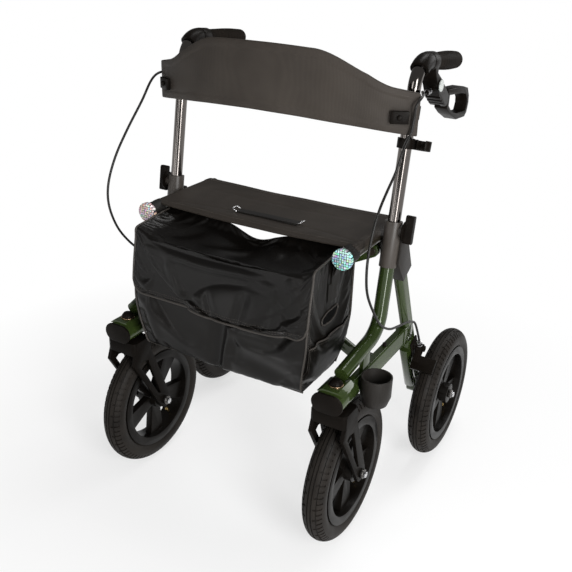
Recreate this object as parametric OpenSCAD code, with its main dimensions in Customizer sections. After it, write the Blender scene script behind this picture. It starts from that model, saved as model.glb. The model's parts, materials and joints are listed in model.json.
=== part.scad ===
// All terrain rollator: folding walking frame with four air tyres, seat, bag and backrest
// +X is the user's left, -Y is the front, Z is up and zero on the ground, all lengths in mm

/* [Wheels] */
// Outside diameter of every tyre
wheel_d = 306; // [290:1:320]
// Width of a tyre
tyre_w = 48; // [44:1:52]
// Diameter at which the tyre sits on the rim
bead_d = 222; // [210:1:230]
// Radial depth of the rim ring
rim_depth = 15; // [10:1:20]
// Width of the rim between its lips
rim_w = 38; // [34:1:40]
// Height of the rim lips above the bead
rim_lip = 3; // [1:0.5:3]
// Diameter of the hub
hub_d = 46; // [38:1:56]
// Width of the hub
hub_w = 50; // [46:1:52]
// Number of wheel spokes
spoke_count = 5; // [4:1:7]
// Width of a spoke at the rim
spoke_w = 44; // [30:1:50]
// Width of a spoke at the hub
spoke_root_w = 26; // [20:1:30]
// Thickness of a spoke
spoke_t = 16; // [10:1:22]
// Diameter of every wheel axle
axle_d = 12; // [10:1:14]
// Depth of the tread grooves
groove_depth = 2.5; // [1:0.5:4]

/* [Stance] */
// Distance between the front wheel planes
front_track = 494; // [480:1:510]
// Distance between the rear wheel planes
rear_track = 618; // [608:1:640]
// Distance from front to rear axle with the casters straight
wheelbase = 384; // [374:1:400]
// How far a front axle trails behind its swivel axis
trail = 68; // [60:1:74]

/* [Casters] */
// Depth of the fork crown fore and aft
crown_l = 54; // [48:1:60]
// Height of the fork crown
crown_h = 29; // [24:1:34]
// Room between the tyre and the crown
crown_gap = 2; // [2:0.5:6]
// Thickness of a fork leg
fork_t = 8; // [6:0.5:10]
// Room between the tyre and a fork leg
fork_gap = 5; // [3:0.5:6]
// Radius of a fork leg around the axle
fork_eye_r = 18; // [16:1:22]
// Diameter of the swivel stem
stem_d = 14; // [12:1:16]
// Width of the oval caster head
head_w = 60; // [54:1:66]
// Height of the oval caster head
head_h = 36; // [32:1:40]
// Wall of the caster head
head_wall = 4; // [3:0.5:5]
// Length of the caster head ahead of the swivel axis
head_front = 31; // [29:1:36]
// Length of the caster head behind the swivel axis
head_back = 40; // [38:1:44]
// Height of the pad on the caster head's top
pad_t = 6; // [4:0.5:8]
// Room between the fork crown and the caster head
race_gap = 4; // [3:0.5:6]

/* [Frame] */
// Distance between the planes of the two front legs
side_gap = 512; // [506:1:520]
// Backward lean of the front legs and handle tubes in degrees
lean = 8.5; // [7:0.5:10]
// Slope of the lower run of a front leg in degrees
leg_slope = 13; // [11:0.5:15]
// Outside diameter of a front leg
leg_od = 28.6; // [27:0.2:30]
// Wall of a front leg
leg_wall = 1.7; // [1.4:0.1:2]
// Bend radius of a front leg
leg_bend_r = 58; // [52:1:64]
// Where a front leg's lower end stands behind the swivel axis
leg_foot_back = 19; // [18:1:24]
// Width of a rear leg across the frame
rear_leg_w = 20; // [18:0.5:22]
// Depth of a rear leg fore and aft
rear_leg_d = 36; // [32:0.5:40]
// Distance between the lower ends of the rear legs
rear_leg_gap = 492; // [484:1:500]
// Wall of a rear leg
rear_leg_wall = 2; // [1.5:0.1:3]
// Width of a lower rail
rail_w = 18; // [14:0.5:19]
// Height of a lower rail
rail_h = 40; // [36:1:44]
// How far the lower rail's middle lies below the caster head's middle
rail_drop = 9; // [6:1:12]

/* [Sleeve and joint] */
// Outside diameter of the sleeve
sleeve_od = 34; // [32:0.5:36]
// Length of the sleeve below the seat rail's height
sleeve_below = 51; // [44:1:58]
// Length of the sleeve above the seat rail's height
sleeve_above = 38; // [36:1:44]
// How far the rear leg's middle stands behind the mast at its top
joint_back = 50; // [46:1:54]
// How far the rear leg's top end lies below the seat rail
joint_drop = 66; // [60:1:72]
// Width of the rear leg's joint
joint_w = 32; // [30:1:36]
// Diameter of the knob's screw
knob_screw_d = 8; // [6:0.5:10]
// Width of the wing knob
knob_w = 54; // [46:1:58]

/* [Fold] */
// Height of the seat rails above the ground
seat_rail_z = 609; // [595:1:620]
// Distance between the seat rails, also between the fold pivots
seat_rail_gap = 442; // [436:1:444]
// Outside diameter of a seat rail
seat_rail_od = 28; // [26:0.5:29]
// Wall of a seat rail
seat_rail_wall = 1.8; // [1.4:0.1:2.4]
// How far the upper pivots lie below the seat rails
upper_pivot_drop = 28; // [27:1:32]
// Height of a crossing bar
bar_h = 25; // [22:1:28]
// Thickness of a crossing bar
bar_t = 12; // [10:0.5:13]
// Middle of the front crossing bar, fore and aft
bar_y = -92; // [-95:1:-90]
// Room between the two crossing bars
bar_gap = 6; // [5.5:0.5:8]
// Diameter of the fold pins
pin_d = 10; // [8:0.5:12]
// Thickness of the lugs that hold the fold pins
lug_t = 6; // [5:0.5:7]

/* [Handles] */
// Distance along the mast from the seat rail's height to the handle's corner
handle_rise = 327; // [318:1:340]
// Length of the handle tube below the seat rail's height
handle_below = 67; // [64:1:70]
// Bend radius of the handle tube
handle_bend_r = 48; // [44:1:52]
// Downward slope of the grip in degrees
grip_drop = 5; // [4:0.5:8]
// Distance from the handle's corner to the tube's rear end
handle_reach = 208; // [208:1:224]
// Outside diameter of the grip
grip_od = 34; // [32:0.5:36]
// Length of the grip
grip_l = 140; // [130:1:142]
// Thickness of the grip's end
grip_end = 6; // [4:0.5:8]
// Width of the brake housing
housing_w = 30; // [28:0.5:34]
// Distance from the handle's corner to the brake housing's clamp
clamp_reach = 46; // [46:0.5:47]
// Length of the brake housing's clamp
clamp_l = 26; // [22:1:26]
// Width of the brake lever's loop
lever_w = 26; // [22:0.5:30]

/* [Rear brake] */
// Distance up the rear leg from the tyre's tread to the brake arm's pin
brake_up = 15; // [13:1:23]
// Diameter of the brake arm's pin
brake_pin_d = 8; // [7:0.5:10]
// Room between the brake shoe and the tyre
shoe_gap = 3; // [3:0.1:4]
// Thickness of the brake shoe
shoe_t = 9; // [7:0.5:12]
// Width of the brake shoe
shoe_w = 28; // [24:1:34]

/* [Soft goods] */
// Front edge of the seat fabric
seat_front = -167; // [-170:1:-160]
// Rear edge of the seat fabric
seat_rear = 20; // [15:1:22]
// Thickness of the seat fabric
seat_t = 2.4; // [1.5:0.1:3]
// Width of the bag
bag_w = 390; // [380:1:396]
// Wall of the bag
bag_wall = 4; // [3:0.5:5]
// Bottom of the bag above the ground
bag_z = 345; // [340:1:360]
// Rear face of the bag
bag_rear = -106; // [-112:1:-105]
// Front face of the bag at its top
bag_front = -272; // [-276:1:-266]
// Forward swell of the bag's front
bag_swell = 16; // [8:1:20]
// Thickness of the bag's flap
flap_t = 4; // [2:0.5:5]
// Height of the flap's lower edge above the ground
flap_z = 472; // [460:1:490]
// Half of the backrest's width
band_half = 282; // [270:1:290]
// Thickness of the backrest pad
band_t = 13; // [12:0.5:16]
// Thickness of the backrest's bound edge
band_edge_t = 8; // [6:0.5:10]
// Width of the backrest's bound edge
band_edge_w = 14; // [10:1:18]
// Radius of the backrest's forward bow
band_r = 532; // [520:1:560]
// Front of the backrest in the middle
band_front = -157; // [-159:1:-155]

/* [Stick holder] */
// Inside diameter of the stick cup
cup_bore = 54; // [46:1:56]
// Wall of the stick cup
cup_wall = 3; // [2:0.5:3.5]
// Height of the stick cup
cup_h = 58; // [54:1:64]
// Inside diameter of the stick clip
clip_bore = 23; // [20:0.5:26]
// Wall of the stick clip
clip_wall = 3; // [2:0.5:4]

/* [Fits] */
// Clearance of a turning shaft in its bore
run_gap = 0.08; // [0.05:0.01:0.1]
// Clearance between pieces that are fixed together
fit = 0.15; // [0.1:0.05:0.2]
// Clearance of the handle tube in the front leg
slide_gap = 0.4; // [0.3:0.1:0.5]
// Side clearance between moving pieces
side_clear = 0.4; // [0.3:0.05:0.5]

/* [Hidden] */
$fn = 64;

// Colours of the finishes
green = [0.16, 0.24, 0.13];
black = [0.07, 0.07, 0.07];
rubber = [0.1, 0.1, 0.1];
steel = [0.7, 0.7, 0.72];
bronze = [0.3, 0.26, 0.24];
cloth = [0.09, 0.09, 0.1];
silver = [0.75, 0.8, 0.75];
eps = 0.5;
// A bend is a little fuller than the straight runs that lap into it
bend_swell = 0.2;
lap = 1;
// Sides of the wide arcs
arc_fn = 256;

// Wheel places
wheel_r = wheel_d / 2;
bead_r = bead_d / 2;
tyre_r = wheel_r - tyre_w / 2;
front_x = front_track / 2;
rear_x = rear_track / 2;
front_y = -wheelbase / 2;
rear_y = wheelbase / 2;
swivel_y = front_y - trail;
groove_w = 4;
groove_step = 11;
nut_d = 20;
nut_t = 7;
valve_d = 6;
valve_l = 18;

// Fork and caster head
fork_in = tyre_w / 2 + fork_gap;
fork_out = fork_in + fork_t;
crown_z = wheel_d + crown_gap;
crown_top = crown_z + crown_h;
crown_reach = norm([fork_out, crown_l / 2 + 3]);
head_z = crown_top + race_gap + head_h / 2;
head_top = head_z + head_h / 2;
pad_w = 44;
pad_l = 56;
stem_nut_d = stem_d + 6;
cap_wall = 2;
cap_d = stem_nut_d + 2 * side_clear + 2 * cap_wall;
cap_h = 11;
steerer_wall = 7;

// Front leg and mast, both in the plane of one side frame
side_x = side_gap / 2;
mast_y = -74;
leg_id = leg_od - 2 * leg_wall;
handle_od = leg_id - 2 * slide_gap;
leg_top_s = 8;
foot_y = swivel_y + leg_foot_back;
leg_sink = 3;
foot_z = head_top + pad_t - leg_sink + leg_od / 2 / cos(leg_slope);
foot_s = (foot_y - mast_y) * sin(lean) + (foot_z - seat_rail_z) * cos(lean);
foot_u = (foot_y - mast_y) * cos(lean) - (foot_z - seat_rail_z) * sin(lean);
// The lower run turns about the mast until its foot stands over the swivel axis
leg_toe = atan2(side_x - front_x, -foot_u);
leg_reach = norm([foot_u, side_x - front_x]);
leg_turn = 90 - lean - leg_slope;
corner_s = foot_s + leg_reach / tan(leg_turn);
leg_start_s = corner_s + leg_bend_r * tan(leg_turn / 2);
leg_arc_end = [-leg_bend_r * (1 - cos(leg_turn)), leg_start_s - leg_bend_r * sin(leg_turn)];
leg_run = (leg_reach + leg_arc_end[0]) / sin(leg_turn);
leg_plug = 12;
leg_round = 4;

// Rear leg from the axle up to its joint behind the sleeve
rear_leg_x = rear_leg_gap / 2;
rear_top = [side_x + 6, mast_at(seat_rail_z - joint_drop) + joint_back, seat_rail_z - joint_drop];
rear_low = [rear_leg_x, rear_y, wheel_r];
rear_dir = rear_top - rear_low;
rear_l = norm(rear_dir);
rear_tilt = asin(-rear_dir[1] / rear_l);
rear_roll = atan2(rear_dir[0], rear_dir[2]);
rear_lug_d = 40;
spacer_d = 20;
boot_w = rear_leg_w + 6;
boot_d = rear_leg_d + 8;
boot_l = 152;
joint_lap = 17;
joint_wall = 3;

// Lower rail
rail_z = head_z - rail_drop;
rail_front = swivel_y + head_back;
rail_at = rear_low + rear_dir * ((rail_z - rear_low[2]) / rear_dir[2]);
rail_x = rail_at[0];
rail_round = 4;
web_y = -150;
web_l = 30;
web_t = 8;
tie_l = 8;
rail_socket_l = 44;
rail_socket_t = 2;

// Fold
pivot_x = seat_rail_gap / 2;
upper_z = seat_rail_z - upper_pivot_drop;
rear_bar_y = bar_y + bar_t + bar_gap;
bar_l = norm([seat_rail_gap, upper_z - rail_z]);
bar_angle = atan2(upper_z - rail_z, seat_rail_gap);
seat_rail_id = seat_rail_od - 2 * seat_rail_wall;
pin_head_d = 16;
pin_head_t = 4.5;
rail_front_end = -207;
rail_rear_end = 26;
reflector_d = 40;
reflector_t = 9;
saddle_y = -36;
saddle_l = 28;
saddle_wall = 6;

// Handle and brake lever
handle_turn = 90 - lean + grip_drop;
handle_tan = handle_bend_r * tan(handle_turn / 2);
handle_start_s = handle_rise - handle_tan;
handle_arc = mast_yz(handle_start_s) + handle_bend_r * [cos(lean), -sin(lean)];
handle_corner = mast_yz(handle_rise);
grip_start = handle_reach + grip_end - grip_l;
clamp_wall = 6;
lever_pin = handle_corner + [135.5, -84.1];
lever_pin_d = 6;
lever_hub_d = 18;
lever_hub_w = 12;
housing_eye = 13;
loop_front = housing_eye + 1.5;
loop_rear = 156;
loop_high = 16;
loop_low = -57;
loop_bar = 12;
barrel_d = 9;
barrel_l = 26;
barrel_turn = 188;
housing_barrel = lever_pin + [-50, 25];
housing_cable = housing_barrel + barrel_l * [cos(barrel_turn), sin(barrel_turn)];
badge_d = 24;
housing_high = 76;
housing_long = 82;
cover_turn = 44;

// Rear brake
brake_s = wheel_r + brake_up;
brake_pin = rear_low + rear_dir * (brake_s / rear_l);
plate_t = 4;
arm_in = brake_pin[0] + rear_leg_w / 2 + plate_t + 5;
arm_out = arm_in + 14;
arm_boss_d = 20;
shoe_from = 126;
shoe_to = 138;
shoe_r = wheel_r + shoe_gap;
stop_off = rear_leg_w / 2 + 16;
stop_up = brake_s + 26;
stop_l = 13;
stop_at = rear_low + rear_dir * (stop_up / rear_l) + stop_off * [cos(rear_roll), 0, -sin(rear_roll)];

// Soft goods
sleeve_r = seat_rail_od / 2 + seat_t + fit;
seat_low = seat_rail_z - 5;
strap_l = 148;
strap_x = 18;
strap_w = 24;
strap_t = 2.5;
strap_y = -132;
flap_gap = 0.6;
bag_top = seat_rail_z - reflector_d / 2 - flap_t - 2;
bag_room = 22;
bag_low_w = front_track - head_w - 2 * bag_room;
bag_step_z = foot_z + leg_od / 2 + 6;
loop_y = -203;
loop_l = 30;
band_arc_y = band_front + band_r;
band_drop = 87;
band_s = handle_rise - band_drop;
band_z = mast_yz(band_s)[1];
band_top = band_z + 110.6;
band_low = band_z - 9.4;
jaw_w = 32;
jaw_h = 22;
jaw_t = 8;
jaw_turn = -acos(side_x / band_r);
bolt_d = 6;

// Stick holder
cup_gap = 5;
cup_od = cup_bore + 2 * cup_wall;
cup_x = rail_x + rail_w / 2 + cup_gap + cup_od / 2;
cup_y = rail_front + cup_od / 2 + side_clear;
cup_z = wheel_d + 18;
cup_floor = 4;
cup_taper_h = 18;
cup_taper = 6;
clip_s = 184;
clip_h = 18;
clip_mouth = 15;
clip_x = side_x + 33.5;
clip_at = [clip_x, mast_yz(clip_s)[0], mast_yz(clip_s)[1]];
stick_dir = clip_at - [cup_x, cup_y, cup_z + cup_floor];
stick_tilt = asin(-stick_dir[1] / norm(stick_dir));
stick_roll = atan2(stick_dir[0], stick_dir[2]);

// Route of the left brake cable, from the housing's adjuster to the stop on the rear leg
cable_off = 0.3;
lead_l = 10;
head_way = [0, cos(barrel_turn), sin(barrel_turn)];
tail_way = rear_dir / rear_l;
cable_head = [side_x, housing_cable[0], housing_cable[1]] + cable_off * head_way;
cable_tail = stop_at + cable_off * tail_way;
left_route = concat([cable_head, cable_head + lead_l * head_way], [
    [260, 6, 871], [268, -20, 880], [277, -44, 885], [285, -60, 885], [288, -74, 882], [287, -86, 876],
    [285, -91, 868], [283, -89, 860], [282, -86, 850], [281, -86, 838], [280, -87, 824], [275, -88, 810],
    [266, -78, 794],
    [260, -72, 776], [256, -84, 744], [253, -110, 714], [252, -136, 686], [252, -156, 652], [253, -171, 614],
    [255, -178, 576], [258, -174, 536], [264, -154, 494], [270, -124, 454], [276, -90, 432], [279, -46, 421],
    [281, -8, 413], [281, 24, 401], [280, 52, 382]
], [cable_tail + lead_l * tail_way, cable_tail]);
// Route of the right brake cable, which bows out in front of the frame, before it is mirrored
right_route = concat([cable_head, cable_head + lead_l * head_way], [
    [261, 4, 867], [270, -18, 865], [282, -48, 863], [291, -74, 861], [291, -100, 848], [292, -130, 812],
    [298, -172, 760], [302, -208, 710], [303, -232, 660], [300, -238, 616], [293, -226, 568],
    [286, -200, 528], [280, -164, 492], [277, -128, 462], [278, -90, 438], [280, -46, 422],
    [281, -8, 413], [281, 24, 401], [280, 52, 382]
], [cable_tail + lead_l * tail_way, cable_tail]);
cable_d = 5;
cable_sides = 8;

// Y of the mast at height z, and the mast's point s along it, in the side view
function mast_at(z) = mast_y + (z - seat_rail_z) * tan(lean);
function mast_yz(s) = [mast_y + s * sin(lean), seat_rail_z + s * cos(lean)];
// Point r out from the rear axle at an angle above the rear, in the side view
function round_wheel(r, a) = [rear_y + r * cos(a), wheel_r + r * sin(a)];
// Depth of the backrest's arc at x for an arc of radius r
function bow_y(x, r) = band_arc_y - sqrt(r * r - x * x);

// Shared shapes

module other_side() {
    mirror([1, 0, 0]) children();
}

// Stands a side view up: its x runs along Y, its y along Z and its thickness along X from x0
module side_view(x0) {
    translate([x0, 0, 0]) rotate([90, 0, 90]) children();
}

// Puts its children on the mast, with Z along it, s above the seat rail's height
module on_mast(s) {
    translate([side_x, mast_y, seat_rail_z]) rotate([-lean, 0, 0]) translate([0, 0, s]) children();
}

// Puts its children on the grip's line, with Z to the rear, s behind the handle's corner
module on_grip(s) {
    translate([side_x, handle_corner[0], handle_corner[1]])
        rotate([-90 - grip_drop, 0, 0]) translate([0, 0, s]) children();
}

// Puts its children on the rear leg, with Z up along it, s above the axle
module on_rear_leg(s) {
    translate(rear_low) rotate([rear_tilt, rear_roll, 0]) translate([0, 0, s]) children();
}

module rod_x(d, x0, x1, y, z) {
    translate([x0, y, z]) rotate([0, 90, 0]) cylinder(d = d, h = x1 - x0);
}

module rod_y(d, x, y0, y1, z) {
    translate([x, y0, z]) rotate([-90, 0, 0]) cylinder(d = d, h = y1 - y0);
}

// Oval of overall size w by h, the longer side along x
module oval(w, h) {
    square([w - h, h], center = true);
    for (k = [-1, 1]) translate([k * (w - h) / 2, 0]) circle(d = h);
}

module round_rect(w, h, r) {
    square([w - 2 * r, h], center = true);
    square([w, h - 2 * r], center = true);
    for (i = [-1, 1], k = [-1, 1]) translate([i * (w / 2 - r), k * (h / 2 - r)]) circle(r = r);
}

// Tube or rod swept along the front leg, longer by more at the top and by low at the foot
module leg_sweep(d, more, low) {
    on_mast(leg_start_s - lap) cylinder(d = d, h = leg_top_s - leg_start_s + lap + more);
    on_mast(0) rotate(-leg_toe) side_view(0) {
        translate([-leg_bend_r, leg_start_s]) rotate(-leg_turn)
            rotate_extrude(angle = leg_turn) translate([leg_bend_r, 0]) circle(d = d + bend_swell);
        translate(leg_arc_end) rotate([0, 0, -90 - leg_turn]) rotate([0, 90, 0])
            translate([0, 0, -lap]) cylinder(d = d, h = leg_run + lap + low);
    }
}

// Tube or rod swept along the handle, each end longer by more
module handle_sweep(d, more) {
    on_mast(-handle_below - more) cylinder(d = d, h = handle_start_s + handle_below + more + lap);
    side_view(side_x) translate(handle_arc) rotate(180 - lean - handle_turn)
        rotate_extrude(angle = handle_turn) translate([handle_bend_r, 0]) circle(d = d + bend_swell);
    on_grip(handle_tan - lap) cylinder(d = d, h = handle_reach - handle_tan + lap + more);
}

// Rod with the rear leg's outline, grown by grow all round
module rear_leg_rod(grow, s0, s1) {
    on_rear_leg(s0) linear_extrude(s1 - s0) rotate(90) oval(rear_leg_d + 2 * grow, rear_leg_w + 2 * grow);
}

// Fold pin along Y: a head in front of the bar and a shank through bar and lug
module fold_pin(x, y, z) {
    rod_y(pin_d, x, y - bar_t / 2 - side_clear - pin_head_t, y + bar_t / 2 + side_clear + lug_t, z);
    rod_y(pin_head_d, x, y - bar_t / 2 - side_clear - pin_head_t, y - bar_t / 2 - side_clear, z);
}

// Wheel pieces about an axle along X through the origin

module tyre() {
    color(rubber) rotate([0, 90, 0]) rotate_extrude() difference() {
        union() {
            translate([tyre_r, 0]) circle(d = tyre_w);
            translate([bead_r, -rim_w / 2]) square([tyre_r - bead_r, rim_w]);
        }
        translate([0, -tyre_w]) square([bead_r, 2 * tyre_w]);
        for (k = [-1, 0, 1])
            translate([wheel_r - groove_depth - abs(k) * groove_depth, k * groove_step - groove_w / 2])
                square([groove_depth * 4, groove_w]);
    }
}

module rim() {
    ring_r = bead_r - rim_depth;
    lip_t = 3;
    color(black) difference() {
        rotate([0, 90, 0]) union() {
            rotate_extrude() polygon([
                [ring_r, -rim_w / 2 - lip_t], [bead_r + rim_lip, -rim_w / 2 - lip_t],
                [bead_r + rim_lip, -rim_w / 2 - fit], [bead_r - fit, -rim_w / 2 - fit],
                [bead_r - fit, rim_w / 2 + fit], [bead_r + rim_lip, rim_w / 2 + fit],
                [bead_r + rim_lip, rim_w / 2 + lip_t], [ring_r, rim_w / 2 + lip_t]
            ]);
            cylinder(d = hub_d, h = hub_w, center = true);
            linear_extrude(spoke_t, center = true) for (i = [0 : spoke_count - 1])
                rotate(i * 360 / spoke_count) polygon([
                    [0, -spoke_root_w / 2], [hub_d / 2, -spoke_root_w / 2], [ring_r + 2, -spoke_w / 2],
                    [ring_r + 2, spoke_w / 2], [hub_d / 2, spoke_root_w / 2], [0, spoke_root_w / 2]
                ]);
            rotate(180 / spoke_count) translate([ring_r - valve_l + 2, 0, 0]) rotate([0, 90, 0])
                cylinder(d = valve_d, h = valve_l);
        }
        rod_x(axle_d + 2 * run_gap, -hub_w, hub_w, 0, 0);
    }
}

module at_front() {
    translate([front_x, front_y, wheel_r]) children();
}

module at_rear() {
    translate([rear_x, rear_y, wheel_r]) children();
}

// Caster pieces of the left side

module front_axle() {
    spacer = fork_in - hub_w / 2 - side_clear;
    color(steel) at_front() {
        rod_x(axle_d, -fork_out - nut_t, fork_out + nut_t, 0, 0);
        for (k = [0, 1]) mirror([k, 0, 0]) {
            rod_x(nut_d, fork_out + fit, fork_out + nut_t, 0, 0);
            rod_x(nut_d, hub_w / 2 + side_clear, hub_w / 2 + spacer, 0, 0);
        }
    }
}

// One fork leg in the side view: wide under the crown, narrow at the axle, with a window
module fork_leg() {
    shoulder = 22;
    hip = 31;
    hip_z = crown_z - 22;
    strut = 15;
    difference() {
        union() {
            polygon([
                [swivel_y - shoulder, crown_top - 4], [swivel_y - shoulder, crown_z + 2],
                [swivel_y - hip, hip_z],
                [front_y - fork_eye_r, wheel_r - 4], [front_y, wheel_r - fork_eye_r],
                [front_y + fork_eye_r, wheel_r + 4], [swivel_y + hip, hip_z + 8],
                [swivel_y + shoulder + 4, crown_z + 2], [swivel_y + shoulder + 4, crown_top - 4]
            ]);
            translate([front_y, wheel_r]) circle(r = fork_eye_r);
        }
        translate([front_y, wheel_r]) circle(d = axle_d + 2 * fit);
        polygon([
            [swivel_y - hip + strut + 3, hip_z - 6], [swivel_y - 4, hip_z],
            [swivel_y + hip - strut, hip_z - 4],
            [front_y - strut, wheel_r + fork_eye_r + 8], [front_y - strut - 8, wheel_r + fork_eye_r + 12]
        ]);
    }
}

module fork() {
    color(black) {
        translate([front_x, swivel_y, crown_z]) {
            linear_extrude(crown_h) round_rect(2 * fork_out, crown_l, 10);
            cylinder(d = stem_d + 2 * steerer_wall + 2, h = crown_h + race_gap - side_clear);
            cylinder(d = stem_d, h = head_top + pad_t + 6 - crown_z);
        }
        for (k = [-1, 1]) translate([front_x + k * (fork_in + fork_t / 2), 0, 0])
            side_view(-fork_t / 2) linear_extrude(fork_t) fork_leg();
    }
    color(steel) translate([front_x, swivel_y, head_top + pad_t + side_clear]) difference() {
        cylinder(d = stem_nut_d, h = 5);
        translate([0, 0, -eps]) cylinder(d = stem_d + 0.1, h = 7);
    }
}

module caster_head() {
    color(green) difference() {
        union() {
            difference() {
                translate([front_x, swivel_y - head_front, head_z]) rotate([-90, 0, 0])
                    linear_extrude(head_front + head_back) oval(head_w, head_h);
                translate([front_x, swivel_y - head_front - eps, head_z]) rotate([-90, 0, 0])
                    linear_extrude(head_front + head_back + eps - head_wall)
                        oval(head_w - 2 * head_wall, head_h - 2 * head_wall);
            }
            translate([front_x, swivel_y, head_z - head_h / 2])
                cylinder(d = stem_d + 2 * steerer_wall, h = head_h);
            translate([front_x, swivel_y - head_front + 5, head_top - 1]) rotate([90, 0, 180])
                linear_extrude(pad_l) polygon([
                    [-pad_w / 2 - 4, 0], [pad_w / 2 + 4, 0], [pad_w / 2, 2], [pad_w / 2 - pad_t, pad_t + 1],
                    [pad_t - pad_w / 2, pad_t + 1], [-pad_w / 2, 2]
                ]);
            translate([(front_x + rail_x) / 2, rail_front - tie_l / 2, head_z])
                cube([abs(rail_x - front_x) + rail_w, tie_l, head_h - 2 * head_wall], center = true);
        }
        leg_sweep(leg_od + 2 * fit, 0, fit);
        translate([front_x, swivel_y, crown_z]) cylinder(d = stem_d + 2 * run_gap, h = 2 * head_h + crown_h);
    }
}

// Oval cap in the head's front end and dome cap over the stem's nut
module head_caps() {
    color(black) {
        translate([front_x, swivel_y - head_front - 5, head_z]) rotate([-90, 0, 0])
            linear_extrude(5) oval(head_w + 4, head_h + 4);
        translate([front_x, swivel_y - head_front, head_z]) rotate([-90, 0, 0])
            linear_extrude(7) oval(head_w - 2 * head_wall - 2 * fit, head_h - 2 * head_wall - 2 * fit);
        translate([front_x, swivel_y, head_top + pad_t]) rotate_extrude() polygon([
            [cap_d / 2 - cap_wall, 0], [cap_d / 2, 0], [cap_d / 2, cap_h / 2], [cap_d / 3, cap_h],
            [0, cap_h + 1], [0, cap_h - cap_wall], [cap_d / 2 - cap_wall, cap_h / 2 + 1]
        ]);
    }
}

// Frame pieces of the left side

module front_leg() {
    color(green) difference() {
        leg_sweep(leg_od, 0, 0);
        leg_sweep(leg_id, eps, -leg_plug);
    }
}

module leg_sleeve() {
    knob_s = (leg_top_s + sleeve_above) / 2;
    color(black) difference() {
        union() {
            on_mast(-sleeve_below) cylinder(d = sleeve_od, h = sleeve_below + sleeve_above);
            on_mast(knob_s) rod_x(knob_screw_d + 12, 0, sleeve_od / 2 + 5, 0, 0);
        }
        on_mast(-sleeve_below - eps) cylinder(d = leg_od + 2 * fit, h = sleeve_below + leg_top_s + fit + eps);
        on_mast(0) cylinder(d = handle_od + 2 * slide_gap, h = sleeve_above + eps);
        on_mast(knob_s) rod_x(knob_screw_d + 2 * run_gap, 0, sleeve_od, 0, 0);
    }
}

module height_knob() {
    knob_s = (leg_top_s + sleeve_above) / 2;
    base_x = sleeve_od / 2 + 5 + side_clear;
    base_t = 3;
    wing_t = 13;
    wing_l = 16;
    wing_up = 4;
    color(black) on_mast(knob_s) {
        rod_x(knob_screw_d, handle_od / 2 + slide_gap, base_x + 1, 0, 0);
        rod_x(knob_w - 16, base_x, base_x + base_t, 0, 0);
        translate([base_x + base_t - 1, 0, 0]) rotate([0, 90, 0]) linear_extrude(wing_l)
            translate([-wing_up, 0]) round_rect(knob_w, wing_t, 4);
    }
}

// Block that carries the rear leg behind the sleeve, with the saddle for the seat rail
module leg_joint() {
    top_z = seat_rail_z + 9;
    low = rear_low + rear_dir * (1 - joint_lap / rear_l);
    rear_a = atan2(-rear_dir[1], rear_dir[2]);
    half = rear_leg_d / 2 + joint_wall;
    saddle_z = seat_rail_z - seat_rail_od / 2 - saddle_wall;
    color(black) difference() {
        union() {
            side_view(side_x + 6 - joint_w / 2) linear_extrude(joint_w) polygon([
                [mast_at(top_z), top_z], [mast_at(top_z) + sleeve_od / 2 + 10, top_z],
                [low[1] + half * cos(rear_a), low[2] + half * sin(rear_a)],
                [low[1] - half * cos(rear_a), low[2] - half * sin(rear_a)],
                [mast_at(seat_rail_z - sleeve_below + 8), seat_rail_z - sleeve_below + 8]
            ]);
            translate([pivot_x - seat_rail_od / 2 - saddle_wall, saddle_y - saddle_l / 2, saddle_z])
                cube([side_x + 6 - pivot_x + seat_rail_od / 2 + saddle_wall, saddle_l,
                    seat_low - fit - saddle_z]);
        }
        on_mast(-2 * sleeve_below) cylinder(d = sleeve_od + 2 * fit, h = 4 * sleeve_below);
        rear_leg_rod(fit, rear_l - 3 * joint_lap, rear_l + fit);
        rod_y(seat_rail_od + 2 * side_clear, pivot_x, saddle_y - saddle_l, saddle_y + saddle_l, seat_rail_z);
    }
}

module rear_leg() {
    lug_half = rear_leg_w / 2 + 2;
    color(green) difference() {
        union() {
            rear_leg_rod(0, 0, rear_l);
            on_rear_leg(rear_lug_d / 2 + 4)
                translate([(rear_leg_w - boot_w) / 2, (rear_leg_d - boot_d) / 2, 0]) linear_extrude(boot_l)
                     round_rect(boot_w, boot_d, rear_leg_w / 2);
            rod_x(rear_lug_d, rear_leg_x - lug_half, rear_leg_x + lug_half, rear_y, wheel_r);
        }
        on_rear_leg(rear_lug_d / 2 + 2) linear_extrude(rear_l) rotate(90)
            oval(rear_leg_d - 2 * rear_leg_wall, rear_leg_w - 2 * rear_leg_wall);
        rod_x(axle_d + 2 * fit, rear_leg_x - rear_lug_d, rear_leg_x + rear_lug_d, rear_y, wheel_r);
    }
}

// Axle through the rear leg's lug: nut inside, spacer up to the hub, nut outside
module rear_axle() {
    lug_half = rear_leg_w / 2 + 2;
    hub_in = rear_x - hub_w / 2;
    hub_end = rear_x + hub_w / 2;
    color(steel) {
        rod_x(axle_d, rear_leg_x - lug_half - nut_t, hub_end + nut_t, rear_y, wheel_r);
        rod_x(nut_d, rear_leg_x - lug_half - nut_t, rear_leg_x - lug_half - fit, rear_y, wheel_r);
        rod_x(spacer_d, rear_leg_x + lug_half + fit, hub_in - side_clear, rear_y, wheel_r);
        rod_x(nut_d, hub_end + side_clear, hub_end + nut_t, rear_y, wheel_r);
    }
}

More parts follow.
